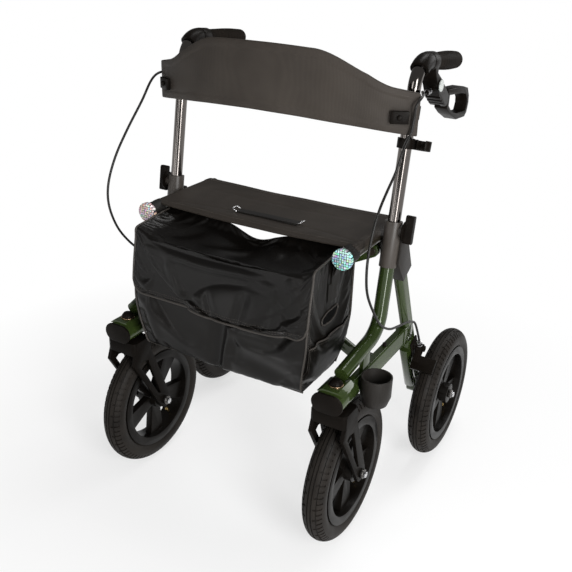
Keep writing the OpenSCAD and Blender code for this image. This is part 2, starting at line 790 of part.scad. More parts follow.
// Rail from the caster head to the rear leg, with a web to the front leg and the bar's pivot lug
module lower_rail(pin_y) {
    lug_y = pin_y + bar_t / 2 + side_clear;
    color(green) {
        difference() {
            union() {
                translate([rail_x, rail_front, rail_z]) rotate([-90, 0, 0])
                    linear_extrude(rail_at[1] - rail_front) round_rect(rail_w, rail_h, rail_round);
                translate([rail_x, rail_at[1] - rail_socket_l, rail_z]) rotate([-90, 0, 0])
                    linear_extrude(rail_socket_l)
                        round_rect(rail_w + 2 * rail_socket_t, rail_h + 2 * rail_socket_t, rail_round);
                translate([rail_x - web_t / 2, web_y - web_l / 2, rail_z])
                    cube([web_t, web_l, foot_z - rail_z + 16]);
                translate([pivot_x, lug_y, rail_z - bar_h / 2]) cube([rail_x - pivot_x, lug_t, bar_h]);
                rod_y(bar_h, pivot_x, lug_y, lug_y + lug_t, rail_z);
            }
            rear_leg_rod(fit, 0, rear_l);
            leg_sweep(leg_od + 2 * fit, 0, 0);
            // room for the fork's crown as it swivels
            translate([front_x, swivel_y, crown_z]) cylinder(r = crown_reach, h = crown_h + race_gap / 2);
        }
        fold_pin(pivot_x, pin_y, rail_z);
    }
}

// Rear brake: plate and pin on the rear leg, arm with shoe that turns on the pin

module brake_bracket() {
    leg_face = brake_pin[0] + rear_leg_w / 2 + 2;
    head_in = arm_out + side_clear;
    color(black) {
        on_rear_leg(brake_s) translate([rear_leg_w / 2 + fit, -14, -22]) cube([plate_t, 28, 48]);
        on_rear_leg(brake_s) translate([rear_leg_w / 2 + 2, -6, 15])
            cube([stop_off - rear_leg_w / 2 - 2, 12, 7]);
        on_rear_leg(stop_up - stop_l) translate([stop_off, 0, 0]) cylinder(d = barrel_d, h = stop_l);
        rod_x(brake_pin_d, leg_face, head_in + 4, brake_pin[1], brake_pin[2]);
        rod_x(brake_pin_d + 8, leg_face, arm_in - side_clear, brake_pin[1], brake_pin[2]);
        rod_x(brake_pin_d + 6, head_in, head_in + 4, brake_pin[1], brake_pin[2]);
    }
}

module brake_arm() {
    a = (shoe_from + shoe_to) / 2;
    seat = round_wheel(shoe_r + shoe_t / 2, a);
    hub = [brake_pin[1], brake_pin[2]];
    run = seat - hub;
    arm_h = 14;
    color(black) difference() {
        union() {
            rod_x(arm_boss_d, arm_in, arm_out, hub[0], hub[1]);
            side_view(arm_in) linear_extrude(arm_out - arm_in) translate(hub) rotate(atan2(run[1], run[0]))
                translate([0, -arm_h / 2]) square([norm(run), arm_h]);
            translate([arm_in, rear_y, wheel_r]) rotate([90, 0, 90]) rotate(shoe_from)
                rotate_extrude(angle = shoe_to - shoe_from, $fn = arc_fn) translate([shoe_r, 0])
                    square([shoe_t, rear_x + shoe_w / 2 - arm_in]);
        }
        rod_x(brake_pin_d + 2 * run_gap, arm_in - 1, arm_out + 1, hub[0], hub[1]);
        translate([0, rear_y, wheel_r]) rotate([0, 90, 0]) cylinder(r = shoe_r, h = 2 * rear_x, $fn = arc_fn);
    }
}

// Cable: one tube swept along its route, with a ring at every point

module cable(route) {
    n = len(route);
    function way(i) = let(d = route[min(i + 1, n - 1)] - route[max(i - 1, 0)]) d / norm(d);
    function ring(i) = let(t = way(i), u0 = cross(t, [1, 0, 0]), u = u0 / norm(u0), v = cross(t, u))
        [for (k = [0 : cable_sides - 1]) route[i] + cable_d / 2 * (cos(k * 360 / cable_sides) * u
            + sin(k * 360 / cable_sides) * v)];
    skin = [for (i = [0 : n - 2], k = [0 : cable_sides - 1], h = [0, 1]) let(
        a = i * cable_sides + k, b = i * cable_sides + (k + 1) % cable_sides)
        h == 0 ? [a, b, b + cable_sides] : [a, b + cable_sides, a + cable_sides]];
    near = [for (k = [1 : cable_sides - 2]) [0, k + 1, k]];
    last = (n - 1) * cable_sides;
    far = [for (k = [1 : cable_sides - 2]) [last, last + k, last + k + 1]];
    color(black) polyhedron([for (i = [0 : n - 1]) each ring(i)], concat(skin, near, far));
}

// Handle pieces of the left side

module handle_tube() {
    wall = 1.6;
    color(bronze) difference() {
        handle_sweep(handle_od, 0);
        handle_sweep(handle_od - 2 * wall, eps);
    }
}

module hand_grip() {
    r = grip_od / 2;
    color(rubber) on_grip(grip_start) difference() {
        rotate_extrude() polygon([
            [0, 0], [r - 2, 0], [r, 3], [r - 1.5, grip_l * 0.3], [r + 1, grip_l * 0.62],
            [r - 1, grip_l * 0.85], [r - 4, grip_l - 4], [r - 9, grip_l], [0, grip_l]
        ]);
        translate([0, 0, -eps]) cylinder(d = handle_od + 2 * fit, h = handle_reach - grip_start + fit + eps);
    }
}

// Housing: clamp on the handle, body that hangs down to the rear, ribs, badge and the lever's slot
module brake_housing() {
    slot_w = lever_hub_w + 2 * side_clear;
    cover_d = handle_od + 2 * clamp_wall - 1;
    rib_at = lever_pin + [-housing_long / 2, 9];
    rib = 4;
    face = side_x + housing_w / 2;
    color(black) difference() {
        union() {
            on_grip(clamp_reach) cylinder(d = handle_od + 2 * clamp_wall, h = clamp_l);
            side_view(side_x) translate(handle_arc) rotate(180 - lean - handle_turn)
                rotate_extrude(angle = cover_turn) translate([handle_bend_r, 0]) circle(d = cover_d);
            on_grip(handle_tan - lap) cylinder(d = cover_d - 1, h = clamp_l / 2);
            side_view(side_x - housing_w / 2) linear_extrude(housing_w) translate(lever_pin) polygon([
                [-housing_long, housing_high], [4 - housing_long, housing_high - 16],
                [20 - housing_long, housing_high / 2], [-housing_long / 2, 9], [-18, -6], [-4, -housing_eye],
                [0, 0], [4, housing_eye], [-36, 42], [-64, housing_high - 18], [-64, housing_high]
            ]);
            rod_x(2 * housing_eye, side_x - housing_w / 2, face, lever_pin[0], lever_pin[1]);
            side_view(side_x) translate(housing_barrel) rotate([0, 0, barrel_turn]) rotate([0, 90, 0])
                cylinder(d = barrel_d, h = barrel_l);
            rod_x(badge_d, face - 1, face + 2, lever_pin[0] - 47, lever_pin[1] + 33);
        }
        handle_sweep(handle_od + 2 * fit, 0);
        side_view(side_x - slot_w / 2) linear_extrude(slot_w) polygon([
            lever_pin + [-11, 11], lever_pin + [-4, 40], lever_pin + [40, 40], lever_pin + [40, -40],
            lever_pin + [0, -40], lever_pin + [-11, -11]
        ]);
        for (i = [0 : 2]) side_view(side_x - housing_w) linear_extrude(2 * housing_w)
            translate(rib_at + i * [11, -7]) rotate(-35) square([rib, rib], center = true);
    }
    color(steel) translate([side_x, 0, 0])
        rod_x(lever_pin_d, -slot_w / 2 - 1, slot_w / 2 + 1, lever_pin[0], lever_pin[1]);
}

module brake_lever() {
    hub_r = lever_hub_d / 2;
    color(black) difference() {
        union() {
            side_view(side_x - lever_w / 2) linear_extrude(lever_w) translate(lever_pin) difference() {
                polygon([
                    [loop_front, loop_high - 2], [loop_front + 6, loop_high], [loop_rear - 46, loop_high - 6],
                    [loop_rear - 16, loop_high - 13], [loop_rear - 3, loop_high - 30],
                    [loop_rear, (loop_high + loop_low) / 2 - 10], [loop_rear - 6, loop_low + 8],
                    [loop_rear - 18, loop_low], [loop_rear - 72, loop_low + 3],
                    [loop_front + 26, loop_low + 21], [loop_front, loop_low + 36]
                ]);
                polygon([
                    [loop_front + loop_bar, loop_high - loop_bar], [loop_rear - 52, loop_high - 7 - loop_bar],
                    [loop_rear - 24, loop_high - 13 - loop_bar], [loop_rear - loop_bar - 2, loop_high - 36],
                    [loop_rear - loop_bar, (loop_high + loop_low) / 2 - 10],
                    [loop_rear - loop_bar - 7, loop_low + loop_bar],
                    [loop_rear - 74, loop_low + 4 + loop_bar], [loop_front + 36, loop_low + 24],
                    [loop_front + loop_bar, loop_low + 40]
                ]);
            }
            translate([side_x, 0, 0])
                rod_x(lever_hub_d, -lever_hub_w / 2, lever_hub_w / 2, lever_pin[0], lever_pin[1]);
            side_view(side_x - lever_hub_w / 2) linear_extrude(lever_hub_w) translate(lever_pin)
                translate([0, -hub_r]) square([loop_front + loop_bar / 2, lever_hub_d]);
        }
        rod_x(lever_pin_d + 2 * run_gap, side_x - lever_w, side_x + lever_w, lever_pin[0], lever_pin[1]);
    }
}

// Collar on the handle tube, arm to the back of the backrest and a bolted jaw on its front
module backrest_bracket() {
    arm_w = 22;
    arm_h = 24;
    collar = handle_od + 10;
    at = mast_yz(band_s);
    back_r = band_r - band_t - side_clear;
    jaw_a = jaw_w / band_r * 180 / PI;
    color(black) difference() {
        union() {
            on_mast(band_s - arm_h / 2) cylinder(d = collar, h = arm_h);
            translate([side_x - arm_w / 2, bow_y(side_x, band_r), at[1] - arm_h / 2])
                cube([arm_w, at[0] - bow_y(side_x, band_r), arm_h]);
        }
        handle_sweep(handle_od + 2 * fit, 0);
        translate([0, band_arc_y, at[1] - arm_h]) difference() {
            cylinder(r = band_r + 60, h = 2 * arm_h, $fn = arc_fn);
            translate([0, 0, -eps]) cylinder(r = back_r, h = 2 * arm_h + 1, $fn = arc_fn);
        }
    }
    color(black) translate([0, band_arc_y, at[1]]) rotate(jaw_turn) {
        translate([0, 0, -jaw_h / 2]) rotate(-jaw_a / 2) rotate_extrude(angle = jaw_a, $fn = arc_fn)
            translate([band_r + side_clear, 0]) square([jaw_t, jaw_h]);
        rotate([0, 90, 0]) translate([0, 0, back_r - 8])
            cylinder(d = bolt_d, h = band_r + jaw_t + 2 - back_r);
    }
}

// Fold pieces

// Crossing bar from its lower pivot at +X up to -X, in the plane y
module cross_bar(y) {
    color(green) translate([pivot_x, y + bar_t / 2, rail_z]) rotate([90, 0, 0]) linear_extrude(bar_t)
        rotate(180 - bar_angle) difference() {
            union() {
                translate([0, -bar_h / 2]) square([bar_l, bar_h]);
                for (x = [0, bar_l]) translate([x, 0]) circle(d = bar_h);
            }
            for (x = [0, bar_l / 2, bar_l]) translate([x, 0]) circle(d = pin_d + 2 * run_gap);
        }
}

module cross_pivot() {
    y0 = bar_y - bar_t / 2 - side_clear - pin_head_t;
    y1 = rear_bar_y + bar_t / 2 + side_clear + pin_head_t;
    z = (rail_z + upper_z) / 2;
    color(steel) {
        rod_y(pin_d, 0, y0, y1, z);
        rod_y(pin_head_d, 0, y0, y0 + pin_head_t, z);
        rod_y(pin_head_d, 0, y1 - pin_head_t, y1, z);
        rod_y(pin_head_d, 0, bar_y + bar_t / 2 + side_clear, rear_bar_y - bar_t / 2 - side_clear, z);
    }
}

// Seat rail at +X with a lug and pin for the upper end of the bar in the plane pin_y
module seat_rail(pin_y) {
    lug_y = pin_y + bar_t / 2 + side_clear;
    color(black) {
        difference() {
            union() {
                rod_y(seat_rail_od, pivot_x, rail_front_end, rail_rear_end, seat_rail_z);
                rod_y(bar_h, pivot_x, lug_y, lug_y + lug_t, upper_z);
                translate([pivot_x - bar_h / 2, lug_y, upper_z]) cube([bar_h, lug_t, seat_rail_z - upper_z]);
            }
            rod_y(seat_rail_id, pivot_x, rail_front_end - eps, rail_rear_end + eps, seat_rail_z);
        }
        fold_pin(pivot_x, pin_y, upper_z);
    }
}

module reflector() {
    plug = seat_rail_id - 2 * fit;
    color(silver) {
        rod_y(reflector_d, pivot_x, rail_front_end - reflector_t, rail_front_end, seat_rail_z);
        rod_y(plug, pivot_x, rail_front_end - 1, rail_front_end + 12, seat_rail_z);
    }
}

// Soft goods

// Seat fabric: a sheet between the rails that lies over the outer side of each rail
module seat_fabric() {
    l = seat_rear - seat_front;
    top = seat_rail_z + sleeve_r;
    color(cloth) {
        translate([-pivot_x, seat_front, top - seat_t]) cube([2 * pivot_x, l, seat_t]);
        for (k = [0, 1]) mirror([k, 0, 0]) intersection() {
            difference() {
                rod_y(2 * sleeve_r, pivot_x, seat_front, seat_rear, seat_rail_z);
                rod_y(seat_rail_od + 2 * fit, pivot_x, seat_front - eps, seat_rear + eps, seat_rail_z);
            }
            translate([pivot_x, seat_front, seat_low]) cube([2 * sleeve_r, l, 2 * sleeve_r]);
        }
    }
}

module seat_strap() {
    z = seat_rail_z + sleeve_r + fit;
    color(cloth) translate([strap_x - strap_l / 2, strap_y - strap_w / 2, z])
        cube([strap_l, strap_w, strap_t]);
}

// Outline of the bag in the side view, moved in by wall, open at the top by rise
module bag_outline(wall, rise) {
    polygon([
        [bag_rear - wall, bag_top + rise], [bag_front + wall, bag_top + rise], [bag_front + wall, bag_top],
        [bag_front - bag_swell + wall, (bag_top + bag_z) / 2], [bag_front - 4 + wall, bag_z + 14],
        [bag_front + 10 + wall, bag_z + wall], [bag_rear - 26, bag_z + wall], [bag_rear - wall, bag_z + 34]
    ]);
}

// Slice of the bag's outline from z0 to z1, w wide
module bag_slice(wall, rise, z0, z1, w) {
    side_view(-w / 2) linear_extrude(w) intersection() {
        bag_outline(wall, rise);
        translate([bag_front - 2 * bag_swell, z0]) square([bag_rear - bag_front + 4 * bag_swell, z1 - z0]);
    }
}

// Bag: between the casters at the bottom, with a loop round each seat rail at the top
module bag() {
    ring_r = seat_rail_od / 2 + bag_wall;
    tab_w = seat_rail_od - 6;
    low_z = bag_top - bag_wall;
    color(cloth) {
        difference() {
            union() {
                bag_slice(0, 0, bag_step_z, bag_top, bag_w);
                bag_slice(0, 0, bag_z, bag_step_z + lap, bag_low_w);
            }
            bag_slice(bag_wall, 20, bag_step_z, bag_top + 20, bag_w - 2 * bag_wall);
            bag_slice(bag_wall, 20, bag_z, bag_step_z + 2 * lap, bag_low_w - 2 * bag_wall);
        }
        for (k = [0, 1]) mirror([k, 0, 0]) difference() {
            union() {
                rod_y(2 * ring_r, pivot_x, loop_y, loop_y + loop_l, seat_rail_z);
                translate([pivot_x - tab_w / 2, loop_y, low_z]) cube([tab_w, loop_l, seat_rail_z - low_z]);
                translate([min(bag_w / 2, pivot_x) - bag_wall, loop_y, low_z])
                    cube([abs(pivot_x - bag_w / 2) + bag_wall, loop_l, bag_wall]);
            }
            rod_y(seat_rail_od + 2 * side_clear, pivot_x, loop_y - eps, loop_y + loop_l + eps, seat_rail_z);
        }
    }
}

// Flap: over the bag's open top and down its front
module bag_flap() {
    w = bag_w + 2;
    mid = (bag_top + bag_z) / 2;
    slope = bag_swell / (bag_top - mid);
    low_y = bag_front - slope * (bag_top - flap_z) - flap_gap;
    top_y = bag_front - flap_gap;
    top_z = bag_top + flap_gap;
    color(cloth) difference() {
        side_view(-w / 2) linear_extrude(w) polygon([
            [seat_front - 4, top_z], [top_y, top_z], [low_y, flap_z], [low_y - flap_t, flap_z],
            [top_y - flap_t, bag_top], [top_y, top_z + flap_t], [seat_front - 4, top_z + flap_t]
        ]);
        for (k = [0, 1]) mirror([k, 0, 0])
            translate([pivot_x - seat_rail_od / 2 - bag_wall - flap_gap, loop_y - flap_gap, bag_top])
                cube([2 * seat_rail_od, loop_l + 2 * flap_gap, 2 * seat_rail_od]);
    }
}

// Half outline of the backrest seen from the front, moved in by inset
function band_half_outline(inset) = [
    [0, band_top - inset], [110, band_top - 2 - inset], [190 - inset / 2, band_top - 32 - inset],
    [235 - inset / 2, band_top - 51 - inset], [band_half - inset, band_top - 64 - inset],
    [band_half - inset, band_low - 25 + inset], [190, band_low - 11 + inset], [100, band_low - 2 + inset],
    [0, band_low + inset]
];

// Bowed plate of the backrest's outline, t thick behind its front face
module band_plate(inset, front, t) {
    half = band_half_outline(inset);
    intersection() {
        rotate([90, 0, 0]) linear_extrude(band_r)
            polygon(concat(half, [for (i = [len(half) - 2 : -1 : 1]) [-half[i][0], half[i][1]]]));
        translate([0, band_arc_y, 2 * band_low - band_top]) difference() {
            cylinder(r = band_r - front, h = 3 * (band_top - band_low), $fn = arc_fn);
            translate([0, 0, -eps])
                cylinder(r = band_r - front - t, h = 3 * (band_top - band_low) + 2 * eps, $fn = arc_fn);
        }
    }
}

module backrest() {
    edge = (band_t - band_edge_t) / 2;
    color(cloth) difference() {
        union() {
            band_plate(0, edge, band_edge_t);
            band_plate(band_edge_w, 0, band_t);
        }
        for (k = [0, 1]) mirror([k, 0, 0]) translate([0, band_arc_y, band_z]) rotate([0, 90, jaw_turn])
            translate([0, 0, band_r - 2 * band_t]) cylinder(d = bolt_d + 2 * side_clear, h = 3 * band_t);
    }
}

// Stick holder

module stick_clip() {
    od = clip_bore + 2 * clip_wall;
    color(black) difference() {
        union() {
            on_mast(clip_s - clip_h / 2) cylinder(d = handle_od + 8, h = clip_h);
            translate(clip_at) rotate([stick_tilt, stick_roll, 0]) {
                translate([side_x - clip_x, -6, -clip_h / 2]) cube([clip_x - side_x, 12, clip_h]);
                cylinder(d = od, h = clip_h, center = true);
            }
        }
        handle_sweep(handle_od + 2 * fit, 0);
        translate(clip_at) rotate([stick_tilt, stick_roll, 0]) {
            cylinder(d = clip_bore, h = 3 * clip_h, center = true);
            translate([-clip_mouth / 2, -od, -clip_h]) cube([clip_mouth, od, 2 * clip_h]);
        }
    }
}

module stick_cup() {
    arm = cup_x - rail_x - rail_w / 2;
    drain_d = 6;
    color(black) difference() {
        union() {
            translate([cup_x, cup_y, cup_z + cup_taper_h]) cylinder(d = cup_od, h = cup_h - cup_taper_h);
            translate([cup_x, cup_y, cup_z])
                cylinder(d1 = cup_od - 2 * cup_taper, d2 = cup_od, h = cup_taper_h);
            translate([rail_x + rail_w / 2, cup_y - 4, rail_z - 6]) cube([arm, 20, 20]);
        }
        translate([cup_x, cup_y, cup_z + cup_taper_h + cup_floor]) cylinder(d = cup_bore, h = cup_h);
        translate([cup_x, cup_y, cup_z + cup_floor])
            cylinder(d1 = cup_bore - 2 * cup_taper, d2 = cup_bore, h = cup_taper_h + eps / 10);
        translate([cup_x, cup_y, cup_z - 1]) cylinder(d = drain_d, h = cup_floor + 2);
    }
}

// Pieces by name

module left_front_leg() { front_leg(); }
module right_front_leg() { other_side() front_leg(); }
module left_caster_head() { caster_head(); }
module right_caster_head() { other_side() caster_head(); }
module left_head_caps() { head_caps(); }
module right_head_caps() { other_side() head_caps(); }
module left_leg_sleeve() { leg_sleeve(); }
module right_leg_sleeve() { other_side() leg_sleeve(); }
module left_leg_joint() { leg_joint(); }
module right_leg_joint() { other_side() leg_joint(); }
module left_rear_leg() { rear_leg(); }
module right_rear_leg() { other_side() rear_leg(); }
module left_lower_rail() { lower_rail(bar_y); }
module right_lower_rail() { other_side() lower_rail(rear_bar_y); }
module left_height_knob() { height_knob(); }
module right_height_knob() { other_side() height_knob(); }
module left_handle_tube() { handle_tube(); }
module right_handle_tube() { other_side() handle_tube(); }
module left_hand_grip() { hand_grip(); }
module right_hand_grip() { other_side() hand_grip(); }
module left_brake_housing() { brake_housing(); }
module right_brake_housing() { other_side() brake_housing(); }
module left_brake_lever() { brake_lever(); }
module right_brake_lever() { other_side() brake_lever(); }
module left_brake_cable() { cable(left_route); }
module right_brake_cable() { other_side() cable(right_route); }
module left_brake_bracket() { brake_bracket(); }
module right_brake_bracket() { other_side() brake_bracket(); }
module left_brake_arm() { brake_arm(); }
module right_brake_arm() { other_side() brake_arm(); }
module left_rear_axle() { rear_axle(); }
module right_rear_axle() { other_side() rear_axle(); }
module left_rear_rim() { at_rear() rim(); }
module right_rear_rim() { other_side() at_rear() rim(); }
module left_rear_tyre() { at_rear() tyre(); }
module right_rear_tyre() { other_side() at_rear() tyre(); }
module left_fork() { fork(); }
module right_fork() { other_side() fork(); }
module left_front_axle() { front_axle(); }
module right_front_axle() { other_side() front_axle(); }
module left_front_rim() { at_front() rim(); }
module right_front_rim() { other_side() at_front() rim(); }
module left_front_tyre() { at_front() tyre(); }
module right_front_tyre() { other_side() at_front() tyre(); }
module left_seat_rail() { seat_rail(rear_bar_y); }
module right_seat_rail() { other_side() seat_rail(bar_y); }
module left_reflector() { reflector(); }
module right_reflector() { other_side() reflector(); }
module left_backrest_bracket() { backrest_bracket(); }
module right_backrest_bracket() { other_side() backrest_bracket(); }
module cross_bar_front() { cross_bar(bar_y); }
module cross_bar_rear() { other_side() cross_bar(rear_bar_y); }

left_front_leg();
right_front_leg();
left_caster_head();
right_caster_head();
left_head_caps();
right_head_caps();
left_leg_sleeve();
right_leg_sleeve();
left_leg_joint();
right_leg_joint();
left_rear_leg();
right_rear_leg();
left_lower_rail();
right_lower_rail();
left_height_knob();
right_height_knob();
left_handle_tube();
right_handle_tube();
left_hand_grip();
right_hand_grip();
left_brake_housing();
right_brake_housing();
left_brake_lever();
right_brake_lever();
left_brake_cable();
right_brake_cable();
left_brake_bracket();
right_brake_bracket();
left_brake_arm();
right_brake_arm();
left_rear_axle();
right_rear_axle();
left_rear_rim();
right_rear_rim();
left_rear_tyre();
right_rear_tyre();
left_fork();
right_fork();
left_front_axle();
right_front_axle();
left_front_rim();
right_front_rim();
left_front_tyre();
right_front_tyre();
left_seat_rail();
right_seat_rail();
left_reflector();
right_reflector();
left_backrest_bracket();
right_backrest_bracket();
cross_bar_front();
cross_bar_rear();
cross_pivot();
seat_fabric();
seat_strap();
bag();
bag_flap();
backrest();
stick_clip();
stick_cup();
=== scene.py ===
import bpy
import json
import math
from mathutils import Matrix, Vector

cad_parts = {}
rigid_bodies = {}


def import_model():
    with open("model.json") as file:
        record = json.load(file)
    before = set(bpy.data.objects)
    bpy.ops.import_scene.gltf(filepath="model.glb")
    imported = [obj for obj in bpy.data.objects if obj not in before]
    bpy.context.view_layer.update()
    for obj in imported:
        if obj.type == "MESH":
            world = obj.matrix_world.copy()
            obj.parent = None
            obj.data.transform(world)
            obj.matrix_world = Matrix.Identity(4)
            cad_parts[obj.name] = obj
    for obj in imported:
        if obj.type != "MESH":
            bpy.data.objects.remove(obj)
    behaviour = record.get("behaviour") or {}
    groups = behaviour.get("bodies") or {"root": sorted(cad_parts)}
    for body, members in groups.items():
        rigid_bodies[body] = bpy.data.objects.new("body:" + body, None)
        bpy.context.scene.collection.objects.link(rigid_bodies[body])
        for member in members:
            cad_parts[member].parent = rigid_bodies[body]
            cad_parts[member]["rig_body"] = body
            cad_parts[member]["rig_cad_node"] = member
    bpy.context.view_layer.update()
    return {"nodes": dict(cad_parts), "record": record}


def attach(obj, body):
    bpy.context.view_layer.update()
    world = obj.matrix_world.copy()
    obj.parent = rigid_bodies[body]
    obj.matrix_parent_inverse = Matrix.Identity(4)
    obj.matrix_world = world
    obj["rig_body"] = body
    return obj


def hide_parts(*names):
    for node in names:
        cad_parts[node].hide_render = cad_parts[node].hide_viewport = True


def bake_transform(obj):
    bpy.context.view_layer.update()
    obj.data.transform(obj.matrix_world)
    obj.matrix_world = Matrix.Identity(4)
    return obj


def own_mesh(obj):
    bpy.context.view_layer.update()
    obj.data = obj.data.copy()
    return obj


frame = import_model()
nodes = frame["nodes"]
record = frame["record"]
bodyOf = {node: body for body, members in record["behaviour"]["bodies"].items() for node in members}
slotOf = {entry["node"]: entry["material_slot"] for entry in record["subparts"]}
sides = (("left", 1), ("right", -1))
print("frame loaded:", len(nodes), "nodes")


# helpers for picking pieces up and shaping them

def clearSelection():
    if bpy.context.mode != "OBJECT":
        bpy.ops.object.mode_set(mode="OBJECT")
    bpy.ops.object.select_all(action="DESELECT")


def takeUp(piece):
    clearSelection()
    piece.select_set(True)
    bpy.context.view_layer.objects.active = piece


def startEdit():
    bpy.ops.object.mode_set(mode="EDIT")


def endEdit():
    bpy.ops.object.mode_set(mode="OBJECT")


# the object just added, under its own name
def named(name):
    piece = bpy.context.object
    piece.name = name
    return piece


# the piece's place goes into its mesh, so its object sits at the origin
def settle(piece):
    takeUp(piece)
    bpy.ops.object.transform_apply(location=True, rotation=True, scale=True)
    return piece


def smoothBy(piece, degrees):
    takeUp(piece)
    bpy.ops.object.shade_smooth_by_angle(angle=math.radians(degrees))
    return piece


def addModifier(piece, kind, **values):
    modifier = piece.modifiers.new(kind.lower(), kind)
    for key, value in values.items():
        setattr(modifier, key, value)
    return modifier


def applyAll(piece):
    takeUp(piece)
    for modifier in list(piece.modifiers):
        bpy.ops.object.modifier_apply(modifier=modifier.name)
    return piece


# selects the faces or points that pass a test, and stays in edit mode
def pick(piece, kind, test):
    takeUp(piece)
    startEdit()
    bpy.ops.mesh.select_mode(type=kind)
    bpy.ops.mesh.select_all(action="DESELECT")
    endEdit()
    if kind == "FACE":
        for face in piece.data.polygons:
            face.select = test(face.center, face.normal)
    else:
        for point in piece.data.vertices:
            point.select = test(point.co)
    startEdit()


# raises picked faces a little, as on a hem
def raiseFaces(piece, test, rise):
    pick(piece, "FACE", test)
    bpy.ops.transform.shrink_fatten(value=rise)
    endEdit()


# merges points that meet and turns all faces outwards
def cleanMesh(piece, distance=1e-5):
    takeUp(piece)
    startEdit()
    bpy.ops.mesh.select_all(action="SELECT")
    bpy.ops.mesh.remove_doubles(threshold=distance)
    bpy.ops.mesh.normals_make_consistent(inside=False)
    endEdit()
    return piece


# a grid whose points are laid on a surface, place(u, v) with both from 0 to 1
def laidGrid(name, across, along, place):
    clearSelection()
    bpy.ops.mesh.primitive_grid_add(x_subdivisions=across, y_subdivisions=along, size=2, location=(0, 0, 0))
    piece = named(name)
    for point in piece.data.vertices:
        point.co = place((point.co.x + 1) / 2, (point.co.y + 1) / 2)
    piece.data.update()
    return cleanMesh(piece)


def addWall(piece, thickness, offset=0.0, rounds=0):
    addModifier(piece, "SOLIDIFY", thickness=thickness, offset=offset)
    if rounds:
        addModifier(piece, "SUBSURF", levels=rounds, render_levels=rounds)
    return applyAll(piece)


def thicken(piece, thickness, offset=0.0, rounds=0):
    return smoothBy(addWall(piece, thickness, offset, rounds), 55)


def wear(piece, finish):
    piece.data.materials.clear()
    piece.data.materials.append(finish)


def seat(piece, body, slot, finish):
    wear(piece, finish)
    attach(piece, body)


def copyOf(piece, name):
    takeUp(piece)
    bpy.ops.object.duplicate()
    twin = named(name)
    twin.data.name = name
    return twin


def mirrored(k, place):
    return (k * place[0], place[1], place[2])


def smoothStep(low, high, value):
    t = min(max((value - low) / (high - low), 0.0), 1.0)
    return t * t * (3 - 2 * t)


# points on a smooth line through the given ones, with even steps in between
def smoothLine(points, steps):
    line = []
    last = len(points) - 1
    for i in range(last):
        near = (max(i - 1, 0), i, i + 1, min(i + 2, last))
        p0, p1, p2, p3 = [Vector(points[j]) for j in near]
        for step in range(steps):
            t = step / steps
            line.append(0.5 * (2 * p1 + (p2 - p0) * t + (2 * p0 - 5 * p1 + 4 * p2 - p3) * t * t
                               + (3 * p1 - p0 - 3 * p2 + p3) * t * t * t))
    line.append(Vector(points[last]))
    return line


def lineLength(line):
    return sum((b - a).length for a, b in zip(line, line[1:]))


def lineCurve(name, line, closed=False):
    clearSelection()
    bpy.ops.curve.primitive_nurbs_path_add(location=(0, 0, 0))
    curve = named(name)
    curve.data.splines.clear()
    spline = curve.data.splines.new("POLY")
    spline.points.add(len(line) - 1)
    for point, place in zip(spline.points, line):
        point.co = (place[0], place[1], place[2], 1)
    spline.use_cyclic_u = closed
    return curve


# a round tube along a line, as a mesh
def tubeAlong(name, line, radius, closed=False):
    curve = lineCurve(name, line, closed)
    curve.data.bevel_depth = radius
    curve.data.bevel_resolution = 3
    curve.data.use_fill_caps = True
    takeUp(curve)
    bpy.ops.object.convert(target="MESH")
    tube = cleanMesh(settle(bpy.context.object), 1e-6)
    return smoothBy(tube, 60)


# a row of short stitches along a line
def stitchRow(name, line, stitch, gap, thick):
    curve = lineCurve(name + "_path", line)
    clearSelection()
    bpy.ops.mesh.primitive_cube_add(size=1, location=(stitch / 2, 0, 0), scale=(stitch, thick, thick))
    row = settle(named(name))
    pick(row, "FACE", lambda c, n: abs(n.x) > 0.5)
    bpy.ops.transform.resize(value=(1, 0.4, 0.4))  # pointed ends
    endEdit()
    count = max(int(lineLength([Vector(p) for p in line]) / (stitch + gap)), 2)
    addModifier(row, "ARRAY", fit_type="FIXED_COUNT", count=count, use_relative_offset=False,
                use_constant_offset=True, constant_offset_displace=(stitch + gap, 0, 0))
    addModifier(row, "CURVE", object=curve, deform_axis="POS_X")
    applyAll(row)
    bpy.data.objects.remove(curve)
    settle(row)
    return cleanMesh(row, 1e-7)


# where a straight line from start meets a piece, lifted off its surface
def layOn(piece, start, way, lift):
    hit, place, normal, _ = piece.ray_cast(Vector(start), Vector(way))
    return place + normal * lift if hit else None


# height of the listed folds at a point: each has a line, a width and a lift
def foldLift(a, b, folds):
    total = 0.0
    at = Vector((a, b))
    for line, width, lift in folds:
        near = 1.0
        for p, q in zip(line, line[1:]):
            p, q = Vector(p), Vector(q)
            t = min(max((at - p).dot(q - p) / (q - p).length_squared, 0.0), 1.0)
            near = min(near, (at - p - (q - p) * t).length)
        total += lift * math.exp(-(near / width) ** 2)
    return total


# camera at the place the photograph was taken from, in the part's frame
cameraSet = {
    "place": (0.7547, -1.3622, 1.1312),
    "right": (0.8641, 0.5024, 0.0313),
    "up": (-0.2336, 0.3452, 0.9090),
    "back": (0.4458, -0.7928, 0.4156),
    "lens": 48.41,
    "sensor": 36.0,
    "reach": 200,
}
clearSelection()
bpy.ops.object.camera_add(location=cameraSet["place"])
camera = named("photoCamera")
axes = Matrix((cameraSet["right"], cameraSet["up"], cameraSet["back"])).transposed()
camera.rotation_euler = axes.to_euler()
camera.data.sensor_width = cameraSet["sensor"]
camera.data.lens = cameraSet["lens"]
camera.data.clip_end = cameraSet["reach"]
bpy.context.scene.camera = camera


# helpers for node trees

def addNode(tree, kind, **values):
    node = tree.nodes.new(kind)
    for key, value in values.items():
        setattr(node, key, value)
    return node


# numbers and colours are set on the socket, the rest is linked to it
def feed(tree, socket, value):
    if isinstance(value, (int, float, tuple)):
        socket.default_value = value
    else:
        tree.links.new(value, socket)


